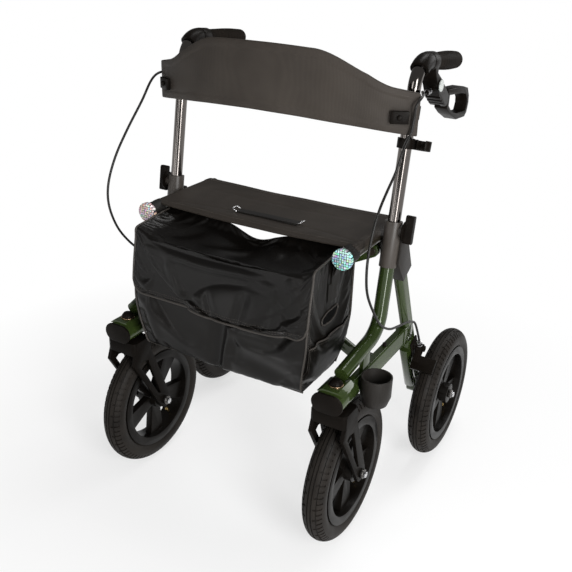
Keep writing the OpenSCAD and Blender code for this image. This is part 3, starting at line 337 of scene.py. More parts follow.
# feeds several inputs by their labels, with _ for a space
def fill(tree, node, **values):
    for label, value in values.items():
        feed(tree, node.inputs[label.replace("_", " ")], value)
    return node


def addMath(tree, operation, first, second):
    node = addNode(tree, "ShaderNodeMath", operation=operation)
    feed(tree, node.inputs[0], first)
    feed(tree, node.inputs[1], second)
    return node.outputs[0]


def addMix(tree, factor, first, second):
    node = addNode(tree, "ShaderNodeMix", data_type="RGBA")
    return fill(tree, node, Factor=factor, A=first, B=second).outputs["Result"]


def addRange(tree, value, low, high, toLow, toHigh):
    node = addNode(tree, "ShaderNodeMapRange")
    fill(tree, node, Value=value, From_Min=low, From_Max=high, To_Min=toLow, To_Max=toHigh)
    return node.outputs["Result"]


def addNoise(tree, vector, scale, detail=4.0):
    node = addNode(tree, "ShaderNodeTexNoise")
    return fill(tree, node, Vector=vector, Scale=scale, Detail=detail).outputs["Fac"]


def objectPlace(tree):
    return addNode(tree, "ShaderNodeTexCoord").outputs["Object"]


def makeFinish(name):
    finish = bpy.data.materials.new(name)
    finish.use_nodes = True
    tree = finish.node_tree
    tree.nodes.clear()
    out = tree.nodes.new("ShaderNodeOutputMaterial")
    shader = tree.nodes.new("ShaderNodeBsdfPrincipled")
    fill(tree, out, Surface=shader.outputs["BSDF"])
    return finish, tree, shader


# floor, world and lamps: a pale floor that turns white a little way off, and soft boxes round the object
stageSet = {
    "floorSize": 60.0,
    "floorColour": (0.93, 0.93, 0.93, 1), "floorRoughness": 0.9, "floorShine": 0.1,
    "whiteFrom": 0.35, "whiteTo": 1.1, "whiteLeast": 0.6,
    "worldColour": (1.0, 1.0, 1.0, 1),
    "worldStrength": 0.22,
    "lamps": [
        ("overheadBox", (0.3, 0.85, 2.5), (0.1, -0.1, 0.4), 0.5, 1.2, 20),
        ("keyBox", (2.0, -1.35, 1.4), (0.0, -0.05, 0.55), 0.7, 1.3, 44),
        ("lowStrip", (1.35, -1.35, 0.62), (0.1, -0.1, 0.45), 0.22, 1.1, 13),
        ("frontStrip", (-0.1, -2.5, 1.3), (0.0, 0.0, 0.6), 0.3, 1.7, 9),
        ("sideBox", (-1.35, -2.5, 0.85), (0.0, -0.2, 0.45), 0.4, 1.3, 7),
        ("backBox", (1.2, 2.3, 1.6), (0.0, 0.0, 0.6), 1.4, 1.2, 18),
    ],
}


def layFloor():
    clearSelection()
    bpy.ops.mesh.primitive_plane_add(size=stageSet["floorSize"], location=(0, 0, 0))
    floor = named("studioFloor")
    finish, tree, shader = makeFinish("paleFloor")
    fill(tree, shader, Base_Color=stageSet["floorColour"], Roughness=stageSet["floorRoughness"],
         Specular_IOR_Level=stageSet["floorShine"])
    path = addNode(tree, "ShaderNodeLightPath")
    seen = addMath(tree, "MAXIMUM", path.outputs["Is Camera Ray"], path.outputs["Is Glossy Ray"])
    seen = addMath(tree, "MAXIMUM", seen, path.outputs["Is Transmission Ray"])
    reach = addNode(tree, "ShaderNodeVectorMath", operation="LENGTH")
    feed(tree, reach.inputs[0], objectPlace(tree))
    far = addRange(tree, reach.outputs["Value"], stageSet["whiteFrom"], stageSet["whiteTo"],
                   stageSet["whiteLeast"], 1.0)
    glow = addNode(tree, "ShaderNodeEmission")
    blend = addNode(tree, "ShaderNodeMixShader")
    feed(tree, blend.inputs["Fac"], addMath(tree, "MULTIPLY", seen, far))
    feed(tree, blend.inputs[1], shader.outputs["BSDF"])
    feed(tree, blend.inputs[2], glow.outputs["Emission"])
    fill(tree, tree.nodes["Material Output"], Surface=blend.outputs["Shader"])
    wear(floor, finish)


def layLamps():
    scene = bpy.context.scene
    scene.view_settings.view_transform = "Standard"
    world = bpy.data.worlds.new("studioWorld")
    scene.world = world
    world.use_nodes = True
    tree = world.node_tree
    path = addNode(tree, "ShaderNodeLightPath")
    level = addRange(tree, path.outputs["Is Camera Ray"], 0.0, 1.0, stageSet["worldStrength"], 1.0)
    fill(tree, tree.nodes["Background"], Color=stageSet["worldColour"], Strength=level)
    for name, place, target, wide, tall, power in stageSet["lamps"]:
        clearSelection()
        bpy.ops.object.light_add(type="AREA", location=place)
        lamp = named(name)
        lamp.data.shape = "RECTANGLE"
        lamp.data.size = wide
        lamp.data.size_y = tall
        lamp.data.energy = power
        lamp.rotation_euler = (Vector(target) - Vector(place)).to_track_quat("-Z", "Y").to_euler()
        lamp.visible_camera = False


layFloor()
layLamps()
print("camera, floor and lamps ready")


# shared effects, one node group each

colourIn = "NodeSocketColor"
numberIn = "NodeSocketFloat"


def startGroup(name, inputs, outputs):
    tree = bpy.data.node_groups.new(name, "ShaderNodeTree")
    for label, kind, value in inputs:
        socket = tree.interface.new_socket(name=label, in_out="INPUT", socket_type=kind)
        socket.default_value = value
    for label, kind in outputs:
        tree.interface.new_socket(name=label, in_out="OUTPUT", socket_type=kind)
    return tree, tree.nodes.new("NodeGroupInput").outputs, tree.nodes.new("NodeGroupOutput")


# blotched colour, uneven gloss and a fine grain for moulded and painted surfaces
def grainGroup():
    tree, source, result = startGroup("surfaceGrain", [
        ("Tint A", colourIn, (0.02, 0.02, 0.02, 1)), ("Tint B", colourIn, (0.03, 0.03, 0.03, 1)),
        ("Blotch Scale", numberIn, 14.0), ("Grain Scale", numberIn, 900.0),
        ("Rough Low", numberIn, 0.35), ("Rough High", numberIn, 0.5),
    ], [("Color", colourIn), ("Roughness", numberIn), ("Height", numberIn)])
    place = objectPlace(tree)
    blotch = addNoise(tree, place, source["Blotch Scale"])
    spread = addRange(tree, blotch, 0.35, 0.65, 0.0, 1.0)
    fill(tree, result, Color=addMix(tree, spread, source["Tint A"], source["Tint B"]),
         Roughness=addRange(tree, blotch, 0.3, 0.7, source["Rough Low"], source["Rough High"]),
         Height=addNoise(tree, place, source["Grain Scale"], 2.0))
    return tree


# woven threads in three directions, with rubbed places
def weaveGroup():
    tree, source, result = startGroup("wovenThreads", [
        ("Tint A", colourIn, (0.012, 0.012, 0.012, 1)), ("Tint B", colourIn, (0.03, 0.028, 0.028, 1)),
        ("Thread Scale", numberIn, 200.0), ("Rub Scale", numberIn, 9.0),
        ("Rough Low", numberIn, 0.5), ("Rough High", numberIn, 0.7),
    ], [("Color", colourIn), ("Roughness", numberIn), ("Height", numberIn)])
    place = objectPlace(tree)
    threads = []
    for axis in ("X", "Y", "Z"):
        wave = addNode(tree, "ShaderNodeTexWave", wave_type="BANDS", bands_direction=axis)
        fill(tree, wave, Vector=place, Scale=source["Thread Scale"], Distortion=0.4)
        threads.append(wave.outputs["Fac"])
    height = addMath(tree, "ADD", addMath(tree, "ADD", threads[0], threads[1]), threads[2])
    height = addMath(tree, "MULTIPLY", height, 0.33)
    rub = addNoise(tree, place, source["Rub Scale"], 6.0)
    rubbed = addRange(tree, rub, 0.35, 0.7, 0.0, 0.6)
    pale = addMath(tree, "ADD", addMath(tree, "MULTIPLY", height, 0.45), rubbed)
    fill(tree, result, Color=addMix(tree, pale, source["Tint A"], source["Tint B"]), Height=height,
         Roughness=addRange(tree, rub, 0.3, 0.7, source["Rough High"], source["Rough Low"]))
    return tree


# pale dust in patches and specks
def dustGroup():
    tree, source, result = startGroup("roadDust", [
        ("Clean", colourIn, (0.02, 0.02, 0.02, 1)), ("Dust", colourIn, (0.12, 0.1, 0.085, 1)),
        ("Amount", numberIn, 0.2), ("Patch Scale", numberIn, 22.0),
    ], [("Color", colourIn), ("Mask", numberIn)])
    place = objectPlace(tree)
    patch = addRange(tree, addNoise(tree, place, source["Patch Scale"], 6.0), 0.42, 0.72, 0.0, 1.0)
    speck = addRange(tree, addNoise(tree, place, 260.0, 3.0), 0.4, 0.65, 0.3, 1.0)
    mask = addMath(tree, "MULTIPLY", addMath(tree, "MULTIPLY", patch, speck), source["Amount"])
    fill(tree, result, Color=addMix(tree, mask, source["Clean"], source["Dust"]), Mask=mask)
    return tree


grain = grainGroup()
weave = weaveGroup()
dust = dustGroup()
# what the finishes share: relief in metres, gloss of the clear coat, spread of the sheen
finishSet = {"relief": 0.0004, "coatRoughness": 0.06, "sheenRoughness": 0.4}


def addGroup(tree, group, **values):
    return fill(tree, addNode(tree, "ShaderNodeGroup", node_tree=group), **values)


def addBump(tree, shader, height, strength, distance):
    bump = fill(tree, addNode(tree, "ShaderNodeBump"), Strength=strength, Distance=distance, Height=height)
    fill(tree, shader, Normal=bump.outputs["Normal"])


# two tints of a near black, the darker one first
def shades(low, high, warm=1.0):
    return [(level * warm, level, level / warm, 1) for level in (low, high)]


def grainFinish(name, tintA, tintB, rough, blotchScale=14.0, grainScale=900.0, bump=0.15, metal=0.0, coat=0.0,
                dusty=0.0, shine=0.25):
    finish, tree, shader = makeFinish(name)
    group = addGroup(tree, grain, Tint_A=tintA, Tint_B=tintB, Blotch_Scale=blotchScale, Grain_Scale=grainScale,
                     Rough_Low=rough[0], Rough_High=rough[1])
    colour = group.outputs["Color"]
    if dusty:
        colour = addGroup(tree, dust, Clean=colour, Amount=dusty).outputs["Color"]
    fill(tree, shader, Base_Color=colour, Roughness=group.outputs["Roughness"], Metallic=metal,
         Specular_IOR_Level=shine, Coat_Weight=coat, Coat_Roughness=finishSet["coatRoughness"])
    addBump(tree, shader, group.outputs["Height"], bump, finishSet["relief"])
    return finish


def weaveFinish(name, tintA, tintB, rough, threadScale, bump=0.35, sheen=0.0, shine=0.25):
    finish, tree, shader = makeFinish(name)
    group = addGroup(tree, weave, Tint_A=tintA, Tint_B=tintB, Thread_Scale=threadScale,
                     Rough_Low=rough[0], Rough_High=rough[1])
    fill(tree, shader, Base_Color=group.outputs["Color"], Roughness=group.outputs["Roughness"],
         Specular_IOR_Level=shine, Sheen_Weight=sheen, Sheen_Roughness=finishSet["sheenRoughness"])
    addBump(tree, shader, group.outputs["Height"], bump, finishSet["relief"])
    return finish


# small square cells in pale colours between dark seams, as on a prismatic reflector
prismSet = {"cellScale": 215, "uneven": 0.12, "seam": (0.36, 0.43), "seamColour": (0.012, 0.02, 0.02, 1)}


def prismFinish(name, tint):
    finish, tree, shader = makeFinish(name)
    split = fill(tree, addNode(tree, "ShaderNodeSeparateXYZ"), Vector=objectPlace(tree))
    flat = fill(tree, addNode(tree, "ShaderNodeCombineXYZ"), X=split.outputs["X"], Y=split.outputs["Z"])
    place = flat.outputs["Vector"]
    cells = addNode(tree, "ShaderNodeTexVoronoi", distance="CHEBYCHEV", voronoi_dimensions="2D")
    fill(tree, cells, Vector=place, Scale=prismSet["cellScale"], Randomness=prismSet["uneven"])
    pale = fill(tree, addNode(tree, "ShaderNodeHueSaturation"), Saturation=0.9, Color=cells.outputs["Color"])
    glint = addRange(tree, addNoise(tree, place, prismSet["cellScale"] * 0.8, 1.0), 0.4, 0.6, 0.35, 0.85)
    tinted = addMix(tree, glint, pale.outputs["Color"], tint)
    edge = addRange(tree, cells.outputs["Distance"], *prismSet["seam"], 0.0, 1.0)
    fill(tree, shader, Base_Color=addMix(tree, edge, tinted, prismSet["seamColour"]), Metallic=0.15,
         Roughness=0.25, Coat_Weight=0.3)
    addBump(tree, shader, cells.outputs["Distance"], 0.6, 0.0006)
    return finish


finishes = {
    "greenPaint": grainFinish("mossGreenPaint", (0.019, 0.032, 0.0065, 1), (0.027, 0.043, 0.010, 1), (0.2, 0.28),
                              blotchScale=6, grainScale=420, bump=0.03, metal=0.2, coat=0.65, shine=0.1),
    "railPaint": grainFinish("darkBronzePaint", (0.020, 0.0165, 0.011, 1), (0.030, 0.025, 0.017, 1), (0.25, 0.35),
                             blotchScale=8, grainScale=500, bump=0.04, metal=0.3, coat=0.3),
    "blackPlastic": grainFinish("blackMoulding", *shades(0.003, 0.0056, 1.3), (0.32, 0.44),
                                grainScale=1400, shine=0.05),
    "satinPlastic": grainFinish("satinSleeveMoulding", *shades(0.030, 0.040, 1.18), (0.36, 0.46),
                                grainScale=1500, bump=0.12, shine=0.35),
    "mattePlastic": grainFinish("matteMoulding", *shades(0.011, 0.0155, 1.14), (0.45, 0.55),
                                grainScale=1300, bump=0.25, shine=0.16),
    "blackPaint": grainFinish("blackForkPaint", *shades(0.0028, 0.0052, 1.25), (0.36, 0.46),
                              grainScale=700, bump=0.12, shine=0.03),
    "rimPlastic": grainFinish("blackRimMoulding", *shades(0.0022, 0.0044, 1.24), (0.3, 0.4),
                              bump=0.12, shine=0.1),
    "tyreRubber": grainFinish("blackTyreRubber", *shades(0.0062, 0.0125, 1.2), (0.44, 0.6),
                              blotchScale=20, grainScale=700, bump=0.25, dusty=0.05, shine=0.11),
    "gripRubber": grainFinish("softGripRubber", *shades(0.005, 0.0085, 1.3), (0.5, 0.64),
                              grainScale=1600, bump=0.3, shine=0.015),
    "darkTube": grainFinish("darkPolishedTube", (0.115, 0.105, 0.098, 1), (0.14, 0.128, 0.12, 1), (0.08, 0.12),
                            blotchScale=5, grainScale=500, bump=0.0, metal=1.0),
    "darkSteel": grainFinish("darkAxleSteel", *shades(0.09, 0.15, 1.05), (0.3, 0.42),
                             blotchScale=60, bump=0.1, metal=1.0),
    "steel": grainFinish("zincSteel", (0.55, 0.55, 0.56, 1), (0.68, 0.68, 0.69, 1), (0.22, 0.34),
                         blotchScale=60, bump=0.08, metal=1.0),
    "brass": grainFinish("brassValve", (0.55, 0.4, 0.16, 1), (0.65, 0.48, 0.22, 1), (0.22, 0.32),
                         blotchScale=80, metal=1.0),
    "bronze": grainFinish("bronzeRing", (0.3, 0.2, 0.12, 1), (0.4, 0.28, 0.18, 1), (0.22, 0.32),
                          blotchScale=80, metal=1.0),
    "cableJacket": grainFinish("blackCableJacket", *shades(0.006, 0.010, 1.1), (0.3, 0.4), bump=0.1),
    "paleBadge": grainFinish("paleBadge", (0.42, 0.45, 0.43, 1), (0.52, 0.54, 0.52, 1), (0.3, 0.4),
                             blotchScale=120, bump=0.05, coat=0.3),
    "bagCloth": weaveFinish("blackBagCloth", *shades(0.0014, 0.0034, 1.24), (0.3, 0.4), 240, bump=0.1, shine=0.2),
    "seatCloth": weaveFinish("blackSeatCloth", *shades(0.0155, 0.028, 1.22), (0.5, 0.62), 190,
                             bump=0.3, shine=0.15),
    "bandCloth": weaveFinish("blackBandCloth", *shades(0.023, 0.038, 1.2), (0.5, 0.62), 170, bump=0.3, shine=0.15),
    "bindingTape": weaveFinish("blackBindingTape", *shades(0.018, 0.036, 1.16), (0.42, 0.55), 300,
                               bump=0.4, shine=0.3),
    "webbing": weaveFinish("blackWebbing", *shades(0.005, 0.012, 1.12), (0.5, 0.65), 120, bump=0.5, shine=0.2),
    # innerShade: near-black cloth for the bag slit's opening, painted shade for the dark inside of the bag
    "innerShade": weaveFinish("paintedSlitShade", *shades(0.0015, 0.003), (0.8, 0.9), 150, bump=0.3, shine=0.05),
    "thread": weaveFinish("greyThread", *shades(0.06, 0.1, 1.14), (0.6, 0.7), 300, sheen=0.1),
    "tealPrism": prismFinish("tealPrismReflector", (0.36, 0.68, 0.62, 1)),
    "rosePrism": prismFinish("rosePrismReflector", (0.72, 0.5, 0.5, 1)),
}
slotFinish = {
    "green_paint": "greenPaint", "black_plastic": "blackPlastic", "black_metal": "blackPaint",
    "rim_plastic": "rimPlastic", "tyre_rubber": "tyreRubber", "grip_rubber": "gripRubber",
    "bronze_tube": "darkTube", "steel": "steel", "cable_jacket": "cableJacket", "reflective": "tealPrism",
    "cloth": "bagCloth",
}
# nodes whose finish differs from the rest of their slot
ownFinish = {
    "leg_sleeve": "satinPlastic", "leg_joint": "mattePlastic", "stick_cup": "mattePlastic",
    "seat_rail": "railPaint", "front_axle": "darkSteel", "rear_axle": "darkSteel", "right_reflector": "rosePrism",
}


def kindOf(node):
    first, _, rest = node.partition("_")
    return rest if first in ("left", "right") else node


def finishFor(node):
    return finishes[ownFinish.get(node, ownFinish.get(kindOf(node), slotFinish[slotOf[node]]))]


for name, piece in nodes.items():
    wear(piece, finishFor(name))
print("finishes ready:", len(finishes))

# brake cables: each a smooth line from the housing to the stop on the rear leg
cableSet = {
    "radius": 0.0025, "steps": 6,
    "head": [(0.256, 0.03379, 0.869648), (0.256, 0.023887, 0.868256)],
    "left": [
        (0.260, 0.006, 0.871), (0.268, -0.020, 0.880), (0.277, -0.044, 0.885), (0.285, -0.060, 0.885),
        (0.288, -0.074, 0.882), (0.287, -0.086, 0.876), (0.285, -0.091, 0.868), (0.283, -0.089, 0.860),
        (0.282, -0.086, 0.850), (0.281, -0.086, 0.838), (0.280, -0.087, 0.824), (0.275, -0.088, 0.810),
        (0.266, -0.078, 0.794), (0.260, -0.072, 0.776), (0.256, -0.084, 0.744), (0.253, -0.110, 0.714),
        (0.252, -0.136, 0.686), (0.252, -0.156, 0.652), (0.253, -0.171, 0.614), (0.255, -0.178, 0.576),
        (0.258, -0.174, 0.536), (0.264, -0.154, 0.494), (0.270, -0.124, 0.454), (0.276, -0.090, 0.432),
        (0.279, -0.046, 0.421),
    ],
    "right": [
        (0.261, 0.004, 0.867), (0.270, -0.018, 0.865), (0.282, -0.048, 0.863), (0.291, -0.074, 0.861),
        (0.291, -0.100, 0.848), (0.292, -0.130, 0.812), (0.298, -0.172, 0.760), (0.302, -0.208, 0.710),
        (0.303, -0.232, 0.660), (0.300, -0.238, 0.616), (0.293, -0.226, 0.568), (0.286, -0.200, 0.528),
        (0.280, -0.164, 0.492), (0.277, -0.128, 0.462), (0.278, -0.090, 0.438), (0.280, -0.046, 0.422),
    ],
    "tail": [
        (0.281, -0.008, 0.413), (0.281, 0.024, 0.401), (0.280, 0.052, 0.382), (0.279227, 0.089676, 0.328616),
        (0.278872, 0.094685, 0.319968),
    ],
}


def layCable(side, k):
    points = cableSet["head"] + cableSet[side] + cableSet["tail"]
    line = smoothLine([mirrored(k, p) for p in points], cableSet["steps"])
    cable = tubeAlong(side + "_brake_cable_line", line, cableSet["radius"])
    wear(cable, finishes["cableJacket"])
    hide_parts(side + "_brake_cable")
    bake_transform(cable)
    print(side, "cable", round(lineLength(line), 3), "m")


for side, k in sides:
    layCable(side, k)

# CAD pieces whose edges are rounded on a copy: width of the rounding in metres
roundingSet = {
    "brake_housing": 0.0022, "brake_lever": 0.0035, "height_knob": 0.0022, "leg_joint": 0.003, "fork": 0.0016,
    "caster_head": 0.0012, "head_caps": 0.0016, "front_rim": 0.0018, "rear_rim": 0.0018, "brake_arm": 0.0014,
    "brake_bracket": 0.001, "leg_sleeve": 0.0012, "lower_rail": 0.0008, "backrest_bracket": 0.0014,
    "stick_cup": 0.0012, "stick_clip": 0.001, "cross_bar_front": 0.001, "cross_bar_rear": 0.001,
    "rear_axle": 0.0008, "front_axle": 0.0008, "reflector": 0.0012, "rear_leg": 0.001,
}
# angles in degrees: flatter than flat is one face, sharper than edge is rounded
roundingWay = {"merge": 2e-6, "flat": 0.5, "edge": 38, "smooth": 35, "plainSmooth": 30}


def roundedCopy(node, width):
    piece = copyOf(nodes[node], node + "_rounded")
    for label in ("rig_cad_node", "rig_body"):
        del piece[label]
    piece.parent = None
    takeUp(piece)
    startEdit()
    bpy.ops.mesh.select_all(action="SELECT")
    bpy.ops.mesh.remove_doubles(threshold=roundingWay["merge"])
    bpy.ops.mesh.dissolve_limited(angle_limit=math.radians(roundingWay["flat"]))
    endEdit()
    addModifier(piece, "BEVEL", width=width, segments=2, limit_method="ANGLE",
                angle_limit=math.radians(roundingWay["edge"]))
    smoothBy(applyAll(piece), roundingWay["smooth"])
    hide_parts(node)
    seat(piece, bodyOf[node], slotOf[node], finishFor(node))


for name in sorted(nodes):
    if kindOf(name) in roundingSet:
        roundedCopy(name, roundingSet[kindOf(name)])
print("edges rounded")
for name in sorted(nodes):
    if not nodes[name].hide_render:
        smoothBy(nodes[name], roundingWay["plainSmooth"])

# tyres: a round section spun about the axle, with grooves and sipes pressed in, which lie between angles of it
tyreSet = {
    "middleRadius": 0.129, "sectionRadius": 0.0239, "beadRadius": 0.1112, "sectionPoints": 60, "steps": 216,
    "grooveDepth": 0.0022, "grooves": ((9, 15), (31, 37)),
    "sipeDepth": 0.0016, "sipeEvery": 3, "shoulder": (39, 68), "rib": (17, 29),
    "hubs": {"front": (0.247, -0.192, 0.153), "rear": (0.309, 0.192, 0.153)},
}


def sectionAngle(place):
    out = math.hypot(place.y, place.z) - tyreSet["middleRadius"]
    return math.degrees(math.atan2(place.x, out))


def turnStep(place):
    return int((math.atan2(place.y, place.z) / math.tau % 1.0) * tyreSet["steps"])


def within(limits, value):
    return limits[0] < value < limits[1]


def inGroove(place, normal):
    return any(within(limits, abs(sectionAngle(place))) for limits in tyreSet["grooves"])


def inSipe(place, normal):
    s = sectionAngle(place)
    step = turnStep(place)
    every = tyreSet["sipeEvery"]
    onShoulder = within(tyreSet["shoulder"], abs(s)) and step % every == 0
    onRib = within(tyreSet["rib"], abs(s)) and (step + (1 if s > 0 else 0)) % (2 * every) == 1
    return onShoulder or onRib


def pressIn(piece, test, depth):
    pick(piece, "FACE", test)
    bpy.ops.mesh.extrude_region_move()
    bpy.ops.transform.shrink_fatten(value=-depth)
    endEdit()


def makeTyre():
    clearSelection()
    bpy.ops.mesh.primitive_circle_add(vertices=tyreSet["sectionPoints"], radius=tyreSet["sectionRadius"],
                                      location=(0, 0, tyreSet["middleRadius"]), rotation=(math.pi / 2, 0, 0))
    tyre = settle(named("tyreMaster"))
    pick(tyre, "VERT", lambda p: p.z < tyreSet["beadRadius"])
    bpy.ops.mesh.delete(type="VERT")
    bpy.ops.mesh.select_all(action="SELECT")
    bpy.ops.mesh.spin(steps=tyreSet["steps"], angle=math.tau, center=(0, 0, 0), axis=(1, 0, 0))
    bpy.ops.mesh.select_all(action="SELECT")
    bpy.ops.mesh.remove_doubles(threshold=1e-5)
    bpy.ops.mesh.select_mode(type="EDGE")
    bpy.ops.mesh.select_all(action="DESELECT")
    bpy.ops.mesh.select_non_manifold(extend=False, use_wire=False, use_boundary=True, use_multi_face=False,
                                     use_non_contiguous=False, use_verts=False)
    bpy.ops.mesh.bridge_edge_loops()  # closes the inner side between the beads
    cleanMesh(tyre)
    pressIn(tyre, inGroove, tyreSet["grooveDepth"])
    pressIn(tyre, inSipe, tyreSet["sipeDepth"])
    return smoothBy(tyre, 40)


tyreMaster = makeTyre()
for end, hub in tyreSet["hubs"].items():
    for side, k in sides:
        node = side + "_" + end + "_tyre"
        tyre = copyOf(tyreMaster, node + "_treaded")
        tyre.location = mirrored(k, hub)
        settle(tyre)
        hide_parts(node)
        seat(tyre, bodyOf[node], "tyre_rubber", finishes["tyreRubber"])
bpy.data.objects.remove(tyreMaster)
print("tyres ready")

# hand grips: a swelling sleeve with finger rings, closed at the rear end, lengths along it as shares
gripSet = {
    "corner": (0.256, -0.025666, 0.932408), "drop": 5.0, "start": 0.074, "length": 0.140, "radius": 0.0168,
    "bore": 0.0124, "lip": 0.03, "lipStep": 0.002, "sleeve": 0.94, "swell": 0.0012, "swellFrom": 0.28,
    "swellTurns": 1.6, "domeFrom": 0.93, "domeRun": 0.07, "domeStep": 0.0005,
    "rings": 9, "ringDepth": 0.0007, "ringFrom": 0.12, "ringTo": 0.86, "ringRun": 0.74,
    "around": 40, "along": 90,
}


# how far along the grip and how far from its middle a place is
def gripSection(angle, v):
    size = gripSet
    t = (v - size["lip"]) / size["sleeve"]
    if v <= size["lip"]:
        return 0.0, size["bore"] + (size["radius"] - size["lipStep"] - size["bore"]) * (v / size["lip"])
    if t >= size["domeFrom"]:
        q = min((t - size["domeFrom"]) / size["domeRun"], 1.0) * math.pi / 2
        far = size["length"] * (size["domeFrom"] + size["domeRun"] * math.sin(q))
        return far, (size["radius"] - size["domeStep"]) * max(math.cos(q), 0.0)
    swell = size["swell"] * math.sin((t - size["swellFrom"]) * math.pi * size["swellTurns"])
    radius = size["radius"] + swell - size["lipStep"] * (1 - smoothStep(0.0, size["lip"], t))
    if size["ringFrom"] < t < size["ringTo"]:
        under = 0.5 - 0.5 * math.cos(angle)
        ring = 0.5 + 0.5 * math.cos(t * size["rings"] * math.tau / size["ringRun"])
        radius -= size["ringDepth"] * under * ring
    return size["length"] * t, radius


def gripPlace(k):
    down = math.radians(gripSet["drop"])
    along = Vector((0, math.cos(down), -math.sin(down)))
    upward = Vector((0, math.sin(down), math.cos(down)))
    sideways = Vector((1, 0, 0))

    def place(u, v):
        angle = math.tau * u
        far, radius = gripSection(angle, v)
        point = Vector(gripSet["corner"]) + along * (gripSet["start"] + far)
        return mirrored(k, point + sideways * (radius * math.sin(angle)) + upward * (radius * math.cos(angle)))
    return place


for side, k in sides:
    grip = laidGrid(side + "_hand_grip_ringed", gripSet["around"], gripSet["along"], gripPlace(k))
    smoothBy(grip, 50)
    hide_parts(side + "_hand_grip")
    seat(grip, side + "_handle", "grip_rubber", finishes["gripRubber"])
print("grips ready")

# small hardware: axle bolts, cable adjusters, badges, valves, rings round the domes
hardwareSet = {
    "axleBolt": {"radius": 0.0068, "height": 0.0052, "corners": 6},
    "adjuster": {"radius": 0.0062, "height": 0.012, "corners": 20},
    "valve": {"radius": 0.0037, "height": 0.012, "corners": 12},
    "jawBolt": {"radius": 0.0052, "height": 0.0034, "corners": 6},
    "badge": {"radius": 0.0112, "height": 0.0022, "corners": 40},
    "railPin": {"radius": 0.0042, "height": 0.007, "corners": 10},
    "end": {"inset": 0.3, "step": 0.12, "rim": 0.2, "bevel": 0.09, "smooth": 32},
    "knurl": {"wall": 0.9, "inset": 0.06, "sink": 0.07},
    "valvePlace": {"turn": 36, "out": 0.0905},
    "domeRing": {"middle": (0.247, -0.260, 0.3841), "radius": 0.0132, "wire": 0.0011, "points": 40},
}
# left side: name, kind, the node it sits on, slot, finish, foot and direction
turnedSet = [
    ("front_bolt_outer", "axleBolt", "front_axle", "steel", "steel", (0.2905, -0.192, 0.153), (1, 0, 0)),
    ("front_bolt_inner", "axleBolt", "front_axle", "steel", "steel", (0.2035, -0.192, 0.153), (-1, 0, 0)),
    ("rear_bolt", "axleBolt", "rear_axle", "steel", "steel", (0.3405, 0.192, 0.153), (1, 0, 0)),
    ("housing_adjuster", "adjuster", "brake_housing", "steel", "steel",
     (0.256, 0.0489, 0.87177), (0, -0.9903, -0.1392)),
    ("stop_adjuster", "adjuster", "brake_bracket", "steel", "steel",
     (0.278399, 0.101348, 0.308463), (0.0355, -0.5009, 0.8648)),
    ("housing_badge", "badge", "brake_housing", "black_plastic", "paleBadge",
     (0.2728, 0.062834, 0.881308), (1, 0, 0)),
    ("jaw_bolt", "jawBolt", "backrest_bracket", "black_plastic", "blackPlastic",
     (0.2603, -0.0993, 0.84636), (0.4812, -0.8766, 0)),
    ("rail_pin", "railPin", "lower_rail", "black_plastic", "blackPlastic", (0.254, -0.052, 0.3698), (0, 0, 1)),
]


# a short turned piece that stands on place and points along axis, with a stepped, bevelled end
def turnedPiece(name, kind, place, axis):
    radius, height = hardwareSet[kind]["radius"], hardwareSet[kind]["height"]
    end = hardwareSet["end"]
    clearSelection()
    bpy.ops.mesh.primitive_cylinder_add(vertices=hardwareSet[kind]["corners"], radius=radius, depth=height,
                                        location=(0, 0, height / 2))
    piece = settle(named(name))
    pick(piece, "FACE", lambda c, n: n.z > 0.9)
    bpy.ops.mesh.inset(thickness=radius * end["inset"])
    bpy.ops.mesh.extrude_region_move(TRANSFORM_OT_translate={"value": (0, 0, height * end["step"])})
    bpy.ops.mesh.inset(thickness=radius * end["rim"])
    endEdit()
    addModifier(piece, "BEVEL", width=radius * end["bevel"], segments=2, limit_method="ANGLE")
    applyAll(piece)
    piece.location = place
    piece.rotation_euler = Vector(axis).to_track_quat("Z", "Y").to_euler()
    return smoothBy(settle(piece), end["smooth"])


# narrow ribs round a turned piece, for a thumb to grip
def knurl(piece, place, axis, radius):
    line = Vector(axis).normalized()
    base = Vector(place)
    ribs = hardwareSet["knurl"]

    def onWall(c, n):
        out = c - base - line * (c - base).dot(line)
        return abs(n.dot(line)) < 0.3 and out.length > radius * ribs["wall"]
    pick(piece, "FACE", onWall)
    bpy.ops.mesh.inset(thickness=radius * ribs["inset"], use_individual=True)
    bpy.ops.transform.shrink_fatten(value=-radius * ribs["sink"])
    endEdit()


def fitHardware(side, k):
    for label, kind, node, slot, finish, foot, way in turnedSet:
        place, axis = mirrored(k, foot), mirrored(k, way)
        piece = turnedPiece(side + "_" + label, kind, place, axis)
        if kind == "adjuster":
            knurl(piece, place, axis, hardwareSet[kind]["radius"])
        seat(piece, bodyOf[side + "_" + node], slot, finishes[finish])
    turn = math.radians(hardwareSet["valvePlace"]["turn"])
    way = Vector((0, math.sin(turn), -math.cos(turn)))
    for end in ("front", "rear"):
        hub = Vector(mirrored(k, tyreSet["hubs"][end]))
        foot = hub + way * hardwareSet["valvePlace"]["out"]
        valve = turnedPiece(side + "_" + end + "_valve", "valve", foot, -way)
        seat(valve, bodyOf[side + "_" + end + "_rim"], "steel", finishes["brass"])
    ring = hardwareSet["domeRing"]
    x, y, z = mirrored(k, ring["middle"])
    turns = [math.tau * i / ring["points"] for i in range(ring["points"])]
    circle = [(x + ring["radius"] * math.cos(a), y + ring["radius"] * math.sin(a), z) for a in turns]
    collar = tubeAlong(side + "_dome_ring", circle, ring["wire"], closed=True)
    seat(collar, bodyOf[side + "_head_caps"], "steel", finishes["bronze"])


for side, k in sides:
    fitHardware(side, k)
print("hardware ready")


def foldsWithSeat(piece):
    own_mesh(piece)


def foldsWithBand(piece):
    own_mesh(piece)


# cloth that goes with the seat and has no flat size of its own
def sewOn(piece, finish):
    seat(piece, "left_seat", "cloth", finishes[finish])
    foldsWithSeat(piece)


